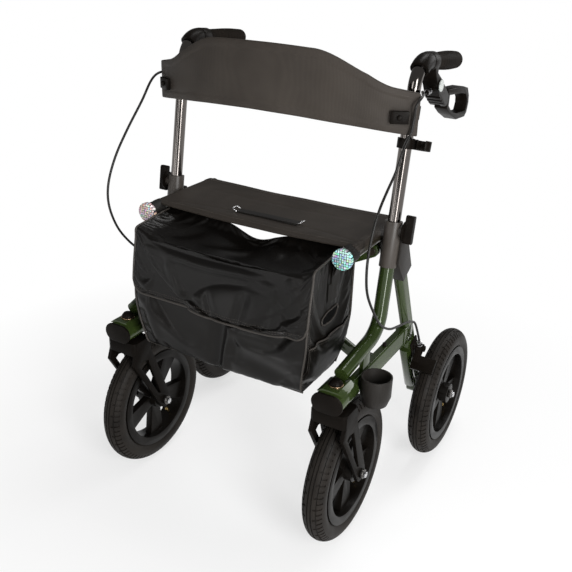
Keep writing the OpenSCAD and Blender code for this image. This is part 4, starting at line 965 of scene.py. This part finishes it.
# backrest band: bowed forward, higher in the middle, with a bound and stitched edge
bandSet = {
    "half": 0.282, "bow": 0.532, "front": -0.157, "middle": 0.0065, "thickness": 0.0085, "crown": 0.0022,
    "top": 0.9565, "dip": 0.003, "dipHalf": 0.1, "shoulder": 0.050, "shoulderAt": (0.100, 0.245),
    "endDrop": 0.017, "endFrom": 0.2, "endRun": 0.082, "low": 0.837, "lowDrop": 0.0245, "lowCurve": 1.9,
    "ripple": 0.0006, "bindWidth": 0.011, "bindRise": 0.0011, "edgeRound": 0.002, "across": 150, "up": 34,
    "stitch": (0.0034, 0.0016, 0.0007), "stitchSink": 0.0002, "stitchPoints": 120,
}


def bandTop(x):
    a = abs(x)
    dip = bandSet["dip"] * min(a / bandSet["dipHalf"], 1.0) ** 2
    shoulder = bandSet["shoulder"] * smoothStep(*bandSet["shoulderAt"], a)
    return bandSet["top"] - dip - shoulder - bandSet["endDrop"] * max(a - bandSet["endFrom"], 0) / bandSet["endRun"]


def bandLow(x):
    return bandSet["low"] - bandSet["lowDrop"] * (abs(x) / bandSet["half"]) ** bandSet["lowCurve"]


def bandPoint(x, z, depth):
    r = bandSet["bow"] - depth
    return Vector((x, bandSet["front"] + bandSet["bow"] - math.sqrt(r * r - x * x), z))


def bandGrid(u, v):
    x = (2 * u - 1) * bandSet["half"]
    z = bandLow(x) + (bandTop(x) - bandLow(x)) * v
    bulge = bandSet["crown"] * (1 - (2 * u - 1) ** 6) * (1 - (2 * v - 1) ** 4)
    ripple = bandSet["ripple"] * math.sin(x * 55 + 3 * v) * math.sin(v * 7 + x * 9)
    return bandPoint(x, z, bandSet["middle"] - bulge - ripple)


def makeBand():
    band = addWall(laidGrid("backrest_band", bandSet["across"], bandSet["up"], bandGrid), bandSet["thickness"])
    bind = bandSet["bindWidth"]

    def bound(c, n):
        return bandTop(c.x) - c.z < bind or c.z - bandLow(c.x) < bind or bandSet["half"] - abs(c.x) < bind
    raiseFaces(band, bound, bandSet["bindRise"])
    addModifier(band, "BEVEL", width=bandSet["edgeRound"], segments=3, limit_method="ANGLE",
                angle_limit=math.radians(60))
    smoothBy(applyAll(band), 50)
    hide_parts("backrest")
    seat(band, "left_handle", "cloth", finishes["bandCloth"])
    foldsWithBand(band)
    depth = bandSet["middle"] - bandSet["thickness"] / 2 - bandSet["bindRise"] - bandSet["stitchSink"]
    last = bandSet["stitchPoints"]
    for label, inset, lift in (("edge", bind - 0.003, depth), ("inner", bind + 0.004, depth + bandSet["bindRise"])):
        xs = [(-1 + 2 * i / last) * (bandSet["half"] - inset) for i in range(last + 1)]
        for end, line in (("top", [bandPoint(x, bandTop(x) - inset, lift) for x in xs]),
                          ("low", [bandPoint(x, bandLow(x) + inset, lift) for x in xs])):
            row = stitchRow("backrest_stitches_" + label + "_" + end, line, *bandSet["stitch"])
            seat(row, "left_handle", "cloth", finishes["thread"])
            foldsWithBand(row)


makeBand()
print("backrest ready")

# seat: a taut sheet over the two rails, with a drooping front hem and a crease towards the strap
seatSet = {
    "railX": 0.221, "railZ": 0.609, "wrap": 0.0158, "lower": 62.0, "front": -0.180, "rear": 0.013, "sag": 0.006,
    "thickness": 0.0016, "hem": 0.014, "hemRise": 0.0009, "droop": 0.006, "droopFrom": -0.160, "ripple": 0.0008,
    "crease": {"y": -0.128, "bow": 0.036, "middle": 0.016, "reach": 0.23, "depth": 0.0014, "width": 0.004},
    "dent": {"y": -0.045, "depth": 0.001, "width": 0.006},
    "across": 110, "along": 60, "stitch": (0.0036, 0.0018, 0.0007), "stitchLift": 0.0018, "stitchPoints": 90,
}


def seatPoint(u, v):
    y = seatSet["front"] + (seatSet["rear"] - seatSet["front"]) * v
    turn = math.radians(seatSet["lower"])
    arc = turn * seatSet["wrap"]
    flat = 2 * seatSet["railX"]
    s = u * (2 * arc + flat)
    if s < arc or s > arc + flat:  # round the rail
        k = -1 if s < arc else 1
        a = turn * (1 - s / arc) if s < arc else turn * ((s - arc - flat) / arc)
        x = k * (seatSet["railX"] + seatSet["wrap"] * math.sin(a))
        return (x, y, seatSet["railZ"] + seatSet["wrap"] * math.cos(a))
    t = (s - arc) / flat
    x = -seatSet["railX"] + flat * t
    loose = math.sin(math.pi * t) ** 0.8
    sag = seatSet["sag"] * loose * (0.75 + 0.25 * math.cos((v - 0.5) * math.pi * 2))
    ripple = seatSet["ripple"] * loose * math.sin(x * 31 + 2.2 * math.sin(y * 17)) * math.cos(y * 26 + x * 8)
    line, dent = seatSet["crease"], seatSet["dent"]
    creaseY = line["y"] - line["bow"] * ((x - line["middle"]) / line["reach"]) ** 2
    crease = line["depth"] * math.exp(-((y - creaseY) / line["width"]) ** 2)
    crease += dent["depth"] * math.exp(-((y - dent["y"]) / dent["width"]) ** 2) * loose
    droop = seatSet["droop"] * loose ** 0.3 * smoothStep(seatSet["droopFrom"], seatSet["front"], y)
    return (x, y, seatSet["railZ"] + seatSet["wrap"] - sag + ripple - crease - droop)


def makeSeat():
    sheet = addWall(laidGrid("seat_sheet", seatSet["across"], seatSet["along"], seatPoint), seatSet["thickness"])
    hem = seatSet["hem"]
    raiseFaces(sheet, lambda c, n: c.y - seatSet["front"] < hem or seatSet["rear"] - c.y < hem, seatSet["hemRise"])
    smoothBy(sheet, 50)
    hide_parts("seat_fabric")
    seat(sheet, "left_seat", "cloth", finishes["seatCloth"])
    foldsWithSeat(sheet)
    last = seatSet["stitchPoints"]
    lift = Vector((0, 0, seatSet["stitchLift"]))
    for label, v in (("front", 0.06), ("rear", 0.94)):
        line = [Vector(seatPoint(0.05 + 0.9 * i / last, v)) + lift for i in range(last + 1)]
        sewOn(stitchRow("seat_stitches_" + label, line, *seatSet["stitch"]), "thread")


makeSeat()
print("seat ready")

# bag: a box of cloth that hangs from the rails, slack between its piped edges
bagSet = {
    "half": 0.196, "lowHalf": 0.182, "halfRise": 0.12, "top": 0.583, "middle": 0.464, "low": 0.345,
    "front": -0.272, "rear": -0.106, "rearTuck": 0.026, "rearRise": 0.04,
    "swell": 0.016, "swellMost": 1.3, "swellCurve": 1.6, "footTuck": 0.008, "footFrom": 0.88, "footRun": 0.12,
    "rearSag": 0.024, "sagMiddle": 0.005, "sagReach": 0.085, "sagFrom": 0.45,
    "sideRise": (0.014, 0.024), "riseShare": 0.6, "riseAcross": 0.985, "riseFrom": 0.06, "heldTop": 0.004,
    "cuts": 44, "slack": 0.045, "gravity": 0.4, "frames": 18, "cap": 0.008,
    "wall": 0.0022, "piping": 0.0021, "lowPipingGap": 0.001, "lowPipingPoints": 60,
    "folds": [
        ([(0.031, 0.452), (0.014, 0.363)], 0.0075, 0.012),
        ([(0.004, 0.452), (-0.006, 0.372)], 0.014, -0.010),
        ([(0.044, 0.446), (0.110, 0.447), (0.180, 0.436)], 0.014, 0.010),
        ([(0.060, 0.402), (0.175, 0.378)], 0.020, -0.007),
        ([(-0.158, 0.450), (-0.146, 0.365)], 0.012, 0.005),
        ([(-0.120, 0.420), (-0.050, 0.402)], 0.016, 0.004),
    ],
}
# how the cloth of bag and flap behaves while it buckles
clothSet = {"quality": 6, "mass": 0.15, "tension_stiffness": 20, "compression_stiffness": 20,
            "bending_stiffness": 0.6}


def bagFront(z):
    low, middle, top = bagSet["low"], bagSet["middle"], bagSet["top"]
    if z >= middle:
        t = min((z - middle) / (top - middle), bagSet["swellMost"])
        return bagSet["front"] - bagSet["swell"] * (1 - t ** bagSet["swellCurve"])
    t = (middle - z) / (middle - low)
    foot = max((t - bagSet["footFrom"]) / bagSet["footRun"], 0.0)
    return bagSet["front"] - bagSet["swell"] * (1 - t * t) + bagSet["footTuck"] * foot ** 2


def bagRear(z):
    return bagSet["rear"] - bagSet["rearTuck"] * (1 - smoothStep(bagSet["low"], bagSet["low"] + bagSet["rearRise"], z))


def bagHalf(z):
    wider = smoothStep(bagSet["low"], bagSet["low"] + bagSet["halfRise"], z)
    return bagSet["lowHalf"] + (bagSet["half"] - bagSet["lowHalf"]) * wider


def bagShape(p):
    share = (p.y - bagSet["front"]) / (bagSet["rear"] - bagSet["front"])
    across = p.x / bagSet["half"]
    x = across * bagHalf(p.z)
    y = bagFront(p.z) + (bagRear(p.z) - bagFront(p.z)) * share
    middle = 1 - abs(across) ** 8
    if share < 0.001:  # on the front
        y -= foldLift(x, p.z, bagSet["folds"]) * middle
    sag = bagSet["rearSag"] * math.exp(-((x - bagSet["sagMiddle"]) / bagSet["sagReach"]) ** 2)
    sag *= smoothStep(bagSet["sagFrom"], bagSet["top"], p.z)
    low, high = bagSet["sideRise"]
    rise = low + (high - low) * min(share / bagSet["riseShare"], 1.0)
    rise *= smoothStep(bagSet["riseAcross"], 1.0, abs(across))
    rise *= smoothStep(bagSet["middle"] + bagSet["riseFrom"], bagSet["top"], p.z)
    return Vector((x, y, p.z + rise - sag * smoothStep(0.5, 1.0, share)))


# lets a sheet buckle: its threads are a little longer than the shape it is pinned to
def letBuckle(piece, pinned, way):
    rest = [v.co.copy() for v in piece.data.vertices]
    group = piece.vertex_groups.new(name="pins")
    group.add([v.index for v in piece.data.vertices if pinned(v.co)], 1.0, "REPLACE")
    cloth = addModifier(piece, "CLOTH")
    for key, value in clothSet.items():
        setattr(cloth.settings, key, value)
    cloth.settings.shrink_min = -way["slack"]
    cloth.settings.vertex_group_mass = "pins"
    cloth.settings.effector_weights.gravity = way["gravity"]
    cloth.collision_settings.use_collision = False
    cloth.point_cache.frame_start = 1
    cloth.point_cache.frame_end = way["frames"]
    scene = bpy.context.scene
    for step in range(1, way["frames"] + 1):
        scene.frame_set(step)
    applyAll(piece)
    scene.frame_set(1)
    piece.vertex_groups.clear()
    for v, start in zip(piece.data.vertices, rest):
        move = v.co - start
        if move.length > way["cap"]:
            v.co = start + move * (way["cap"] / move.length)


def makeBag():
    clearSelection()
    size = (2 * bagSet["half"], bagSet["rear"] - bagSet["front"], bagSet["top"] - bagSet["low"])
    middle = (0, (bagSet["rear"] + bagSet["front"]) / 2, (bagSet["top"] + bagSet["low"]) / 2)
    bpy.ops.mesh.primitive_cube_add(size=1, location=middle, scale=size)
    bag = settle(named("bag_shell"))
    startEdit()
    bpy.ops.mesh.select_all(action="SELECT")
    bpy.ops.mesh.subdivide(number_cuts=bagSet["cuts"])
    pick(bag, "FACE", lambda c, n: n.z > 0.5)
    bpy.ops.mesh.delete(type="FACE")  # open at the top
    endEdit()
    held = set()
    for v in bag.data.vertices:
        walls = [abs(abs(v.co.x) - bagSet["half"]) < 1e-5, abs(v.co.y - bagSet["front"]) < 1e-5,
                 abs(v.co.y - bagSet["rear"]) < 1e-5, abs(v.co.z - bagSet["low"]) < 1e-5]
        onEdge = sum(walls) > 1 or bagSet["top"] - v.co.z < bagSet["heldTop"]
        v.co = bagShape(v.co)
        if onEdge:
            held.add(tuple(v.co))
    letBuckle(bag, lambda p: tuple(p) in held, bagSet)
    thicken(cleanMesh(bag), bagSet["wall"], offset=-1, rounds=1)
    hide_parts("bag")
    sewOn(bag, "bagCloth")
    return bag


# side of the bag: a pocket with a bound edge, a slit with a sewn rim and painted shade in its opening, a plain patch,
# piped and stitched edges
sideSet = {
    "pocket": {"low": 0.012, "top": 0.450, "front": 0.006, "rear": 0.008, "lift": 0.0014, "slack": 0.0022,
               "wall": 0.0014, "binding": 0.0017, "bindingLift": 0.0006, "stitch": (0.003, 0.002, 0.0006),
               "stitchLift": 0.001, "stitchAt": 0.93, "across": 40, "up": 30},
    "slit": {"y": -0.196, "z": 0.486, "half": 0.036, "tall": 0.0125, "tilt": 0.11, "lift": 0.0006,
             "binding": 0.0016, "bindingLift": 0.0012, "around": 40, "out": 6, "points": 48},
    "patch": {"y": (-0.211, -0.172), "z": (0.516, 0.552), "lift": 0.0012, "wall": 0.0008, "cells": 12},
    "edge": {"gap": 0.004, "out": 0.0004, "points": 60, "stitch": (0.0026, 0.0022, 0.0007), "lift": 0.0009,
             "pocketLift": 0.0032},
}


def makeBagSide(bag, side, k):
    def on(y, z, lift):
        return layOn(bag, (k * 0.4, y, z), (-k, 0, 0), lift) or Vector((k * (bagHalf(z) + lift), y, z))

    pouch = sideSet["pocket"]

    def pocket(u, v):
        z = bagSet["low"] + pouch["low"] + (pouch["top"] - bagSet["low"] - pouch["low"]) * v
        front, rear = bagFront(z) + pouch["front"], bagRear(z) - pouch["rear"]
        lift = pouch["lift"] + pouch["slack"] * math.sin(math.pi * u) * v ** 3
        return on(front + (rear - front) * u, z, lift)

    def pocketLine(v, lift):
        last = pouch["across"]
        return [pocket(i / last, v) + Vector((k * lift, 0, 0)) for i in range(last + 1)]
    panel = laidGrid(side + "_bag_pocket", pouch["across"], pouch["up"], pocket)
    sewOn(thicken(panel, pouch["wall"]), "bagCloth")
    rim = pocketLine(1.0, pouch["bindingLift"])
    sewOn(tubeAlong(side + "_pocket_binding", rim, pouch["binding"]), "bindingTape")
    row = pocketLine(pouch["stitchAt"], pouch["stitchLift"])
    sewOn(stitchRow(side + "_pocket_stitches", row, *pouch["stitch"]), "thread")

    slit = sideSet["slit"]

    def inSlit(angle, share, lift):
        a, b = slit["half"] * share * math.cos(angle), slit["tall"] * share * math.sin(angle)
        return on(slit["y"] + a - b * slit["tilt"], slit["z"] + b + a * slit["tilt"], lift)
    # the slit's opening is filled with a near-black sheet: painted shade for the dark inside of the bag
    hole = laidGrid(side + "_bag_slit", slit["around"], slit["out"],
                    lambda u, v: inSlit(math.tau * u, max(v, 0.02), slit["lift"]))
    sewOn(hole, "innerShade")
    rim = [inSlit(math.tau * i / slit["points"], 1.0, slit["bindingLift"]) for i in range(slit["points"])]
    sewOn(tubeAlong(side + "_slit_binding", rim, slit["binding"], closed=True), "bindingTape")

    patch = sideSet["patch"]

    def patchPoint(u, v):
        (y0, y1), (z0, z1) = patch["y"], patch["z"]
        return on(y0 + (y1 - y0) * u, z0 + (z1 - z0) * v, patch["lift"])
    badge = laidGrid(side + "_bag_patch", patch["cells"], patch["cells"], patchPoint)
    sewOn(thicken(badge, patch["wall"]), "webbing")

    edge = sideSet["edge"]
    last = edge["points"]
    tall = bagSet["top"] - bagSet["low"] - 2 * edge["gap"]
    zs = [bagSet["low"] + edge["gap"] + tall * i / last for i in range(last + 1)]
    for end, wall, out in (("front", bagFront, -edge["out"]), ("rear", bagRear, edge["out"])):
        line = [(k * (bagHalf(z) + edge["out"]), wall(z) + out, z) for z in zs]
        sewOn(tubeAlong(side + "_" + end + "_piping", line, bagSet["piping"]), "bindingTape")
    for label, inset in (("near", 0.0055), ("far", 0.0105)):
        row = [on(bagFront(z) + inset, z, edge["lift"] if z > pouch["top"] else edge["pocketLift"])
               for z in zs[:-3]]
        sewOn(stitchRow(side + "_edge_stitches_" + label, row, *edge["stitch"]), "thread")


# webbing loop that carries the bag on a seat rail: up from the bag, round the rail and back, as x and z
loopSet = {
    "up": [(0.1972, 0.540), (0.1990, 0.572), (0.2040, 0.598)], "back": [(0.2090, 0.590), (0.2012, 0.568)],
    "angles": range(170, -81, -25), "steps": 4, "y": (-0.203, -0.173), "wall": 0.0014, "across": 8,
}


def makeBagLoop(side, k):
    x, z, r = seatSet["railX"], seatSet["railZ"], seatSet["wrap"]
    turns = [math.radians(a) for a in loopSet["angles"]]
    way = loopSet["up"] + [(x + r * math.cos(a), z + r * math.sin(a)) for a in turns] + loopSet["back"]
    line = smoothLine([(p[0], 0, p[1]) for p in way], loopSet["steps"])
    front, rear = loopSet["y"]

    def place(u, v):
        p = line[round(u * (len(line) - 1))]
        return (k * p.x, front + (rear - front) * v, p.z)
    loop = laidGrid(side + "_bag_loop", len(line) - 1, loopSet["across"], place)
    sewOn(thicken(loop, loopSet["wall"]), "webbing")


def makeLowPiping():
    half, last, gap = bagSet["lowHalf"], bagSet["lowPipingPoints"], bagSet["lowPipingGap"]
    y, z = bagFront(bagSet["low"]) - gap, bagSet["low"] + gap
    line = [(-half + 2 * half * i / last, y, z) for i in range(last + 1)]
    sewOn(tubeAlong("bag_low_piping", line, bagSet["piping"]), "bindingTape")


bag = makeBag()
for side, k in sides:
    makeBagSide(bag, side, k)
    makeBagLoop(side, k)
makeLowPiping()
print("bag ready")

# flap: from under the seat over the bag's open top, over a sagging ridge and down the front
flapSet = {
    "half": 0.1985, "backY": -0.160, "backZ": 0.611, "gapSag": 0.025, "gapMiddle": 0.012, "gapReach": 0.052,
    "ridgeY": -0.2755, "ridgeZ": 0.601, "ridgeSag": 0.0145, "low": 0.470, "corner": 0.026, "gap": 0.0045,
    "sink": 0.010, "topShare": 0.42, "round": 0.035, "pinWidth": 0.003, "frontY": -0.24,
    "wall": 0.0022, "slack": 0.045, "gravity": 0.5, "frames": 18, "cap": 0.009, "across": 96, "along": 84,
    "piping": 0.0022, "borderPoints": (60, 90), "stitch": (0.003, 0.0022, 0.0007), "stitchLift": 0.0004,
    "stitchPoints": 120,
    "bulge": {"x": 0.046, "z": 0.462, "wide": 0.108, "tall": 0.088, "lift": 0.018, "lean": 0.12},
    "folds": [
        ([(-0.190, 0.574), (-0.060, 0.569), (0.050, 0.574), (0.120, 0.556)], 0.012, 0.010),
        ([(0.150, 0.580), (0.178, 0.545), (0.186, 0.505)], 0.011, 0.011),
        ([(0.150, 0.505), (0.182, 0.482)], 0.010, 0.008),
        ([(-0.182, 0.548), (-0.150, 0.522), (-0.165, 0.492)], 0.011, 0.009),
        ([(-0.112, 0.548), (-0.080, 0.500)], 0.012, 0.010),
        ([(-0.016, 0.512), (0.004, 0.478)], 0.008, -0.005),
        ([(0.066, 0.528), (0.058, 0.480)], 0.010, -0.005),
        ([(0.118, 0.520), (0.108, 0.486)], 0.008, -0.004),
    ],
    "topFolds": [
        ([(-0.062, -0.262), (0.012, -0.214)], 0.010, 0.007),
        ([(0.060, -0.186), (0.088, -0.214)], 0.008, 0.006),
        ([(-0.150, -0.250), (-0.100, -0.200)], 0.014, -0.005),
        ([(0.120, -0.200), (0.170, -0.235)], 0.010, 0.005),
    ],
}


def flapLow(x):
    r = flapSet["corner"]
    over = max(abs(x) - (flapSet["half"] - r), 0.0)
    return flapSet["low"] + r - math.sqrt(max(r * r - over * over, 0.0))


def flapRaw(u, v):
    x = (2 * u - 1) * flapSet["half"]
    across = x / flapSet["half"]
    ridgeZ = flapSet["ridgeZ"] - flapSet["ridgeSag"] * (1 - across * across) ** 0.8
    if v < flapSet["topShare"]:
        t = max(v, 0.0) / flapSet["topShare"]
        gapSag = flapSet["gapSag"] * math.exp(-((x - flapSet["gapMiddle"]) / flapSet["gapReach"]) ** 2)
        backZ = flapSet["backZ"] - gapSag
        y = flapSet["backY"] + (flapSet["ridgeY"] - flapSet["backY"]) * t
        z = backZ + (ridgeZ - backZ) * t - flapSet["sink"] * math.sin(math.pi * t) ** 1.2 * (1 - across ** 4)
        fold = foldLift(x, y, flapSet["topFolds"]) * (1 - across ** 4) * math.sin(math.pi * t) ** 0.5
        return Vector((x, y, z + fold))
    t = min((v - flapSet["topShare"]) / (1 - flapSet["topShare"]), 1.0)
    z = ridgeZ + (flapLow(x) - ridgeZ) * t
    y = min(bagFront(min(z, bagSet["top"])), flapSet["ridgeY"] + flapSet["gap"]) - flapSet["gap"]
    bulge = flapSet["bulge"]
    rise = z - bulge["z"] - bulge["lean"] * (x - bulge["x"])
    inside = 1 - abs((x - bulge["x"]) / bulge["wide"]) ** 2.6 - abs(rise / bulge["tall"]) ** 3
    lift = foldLift(x, z, flapSet["folds"]) + bulge["lift"] * math.sqrt(max(inside, 0.0))
    return Vector((x, y - lift * (1 - across ** 10) * smoothStep(0.0, 0.15, t), z))


# the bend over the ridge is rounded by averaging a few places along the sheet
def flapPoint(u, v):
    near = flapSet["round"] * min(v / 0.1, (1 - v) / 0.1, 1.0)
    spread = [flapRaw(u, v + near * step / 3) for step in range(-3, 4)]
    return sum(spread, Vector((0, 0, 0))) / len(spread)


def makeFlap():
    flap = laidGrid("bag_flap_sheet", flapSet["across"], flapSet["along"], flapPoint)
    rim = flapSet["pinWidth"]

    def pinned(p):
        return abs(p.x) > flapSet["half"] - rim or p.y > flapSet["backY"] - rim or p.z < flapLow(p.x) + rim
    letBuckle(flap, pinned, flapSet)
    for v in flap.data.vertices:  # keeps clear of the bag's front
        if v.co.z < bagSet["top"] and v.co.y < flapSet["frontY"]:
            v.co.y = min(v.co.y, bagFront(v.co.z) - flapSet["gap"] * 0.6)
    thicken(flap, flapSet["wall"], rounds=1)
    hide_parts("bag_flap")
    seat(flap, "left_seat", "cloth", finishes["bagCloth"])
    foldsWithSeat(flap)
    down, wide = flapSet["borderPoints"]
    border = [flapPoint(0.0, i / down) for i in range(2, down + 1)]
    border += [flapPoint(i / wide, 1.0) for i in range(1, wide)]
    border += [flapPoint(1.0, i / down) for i in range(down, 1, -1)]
    sewOn(tubeAlong("flap_piping", border, flapSet["piping"]), "bindingTape")
    last = flapSet["stitchPoints"]
    for label, inset in (("outer", 0.006), ("inner", 0.0105)):
        xs = [(-1 + 2 * i / last) * (flapSet["half"] - inset) for i in range(last + 1)]
        spots = [layOn(flap, (x, -0.6, flapLow(x) + inset), (0, 1, 0), flapSet["stitchLift"]) for x in xs]
        row = [spot for spot in spots if spot]
        sewOn(stitchRow("flap_stitches_" + label, row, *flapSet["stitch"]), "thread")


makeFlap()
print("flap ready")

# pull strap on the seat: webbing between two wire rings
strapSet = {
    "middle": 0.016, "half": 0.070, "width": 0.017, "y": -0.1305, "bow": 0.002, "thickness": 0.0018,
    "sagShare": 0.9, "lift": 0.0035, "endRise": 0.003, "riseReach": 0.1, "across": 40, "along": 8,
    "ringWire": 0.0009, "ringHalf": 0.0088, "ringLong": 0.0095, "ringRise": 0.005, "ringTuck": 0.001,
    "ringShares": (0.12, 0.5, 0.88),
}


def strapBase(x):
    top = seatSet["railZ"] + seatSet["wrap"] - seatSet["sag"] * strapSet["sagShare"]
    return top + strapSet["lift"] + strapSet["endRise"] * (x / strapSet["riseReach"]) ** 2


def strapPoint(u, v):
    t = 2 * u - 1
    x = strapSet["middle"] + t * strapSet["half"]
    return (x, strapSet["y"] + (v - 0.5) * strapSet["width"], strapBase(x) + strapSet["bow"] * (1 - t * t))


def makeStrap():
    strap = laidGrid("seat_strap_webbing", strapSet["across"], strapSet["along"], strapPoint)
    thicken(strap, strapSet["thickness"])
    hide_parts("seat_strap")
    seat(strap, "left_seat", "cloth", finishes["webbing"])
    foldsWithSeat(strap)
    front, rear = strapSet["y"] - strapSet["ringHalf"], strapSet["y"] + strapSet["ringHalf"]
    for label, k in sides:
        x = strapSet["middle"] + k * (strapSet["half"] - strapSet["ringTuck"])
        z = strapBase(x)
        outer, top = x + k * strapSet["ringLong"], z + strapSet["ringRise"]
        corners = [(x, front, z), (outer, front, top), (outer, rear, top), (x, rear, z)]
        line = []
        for a, b in zip(corners, corners[1:] + corners[:1]):
            line += [Vector(a).lerp(Vector(b), share) for share in strapSet["ringShares"]]
        ring = tubeAlong("strap_ring_" + label, line, strapSet["ringWire"], closed=True)
        seat(ring, "left_seat", "steel", finishes["steel"])
        foldsWithSeat(ring)


makeStrap()
print("strap ready")
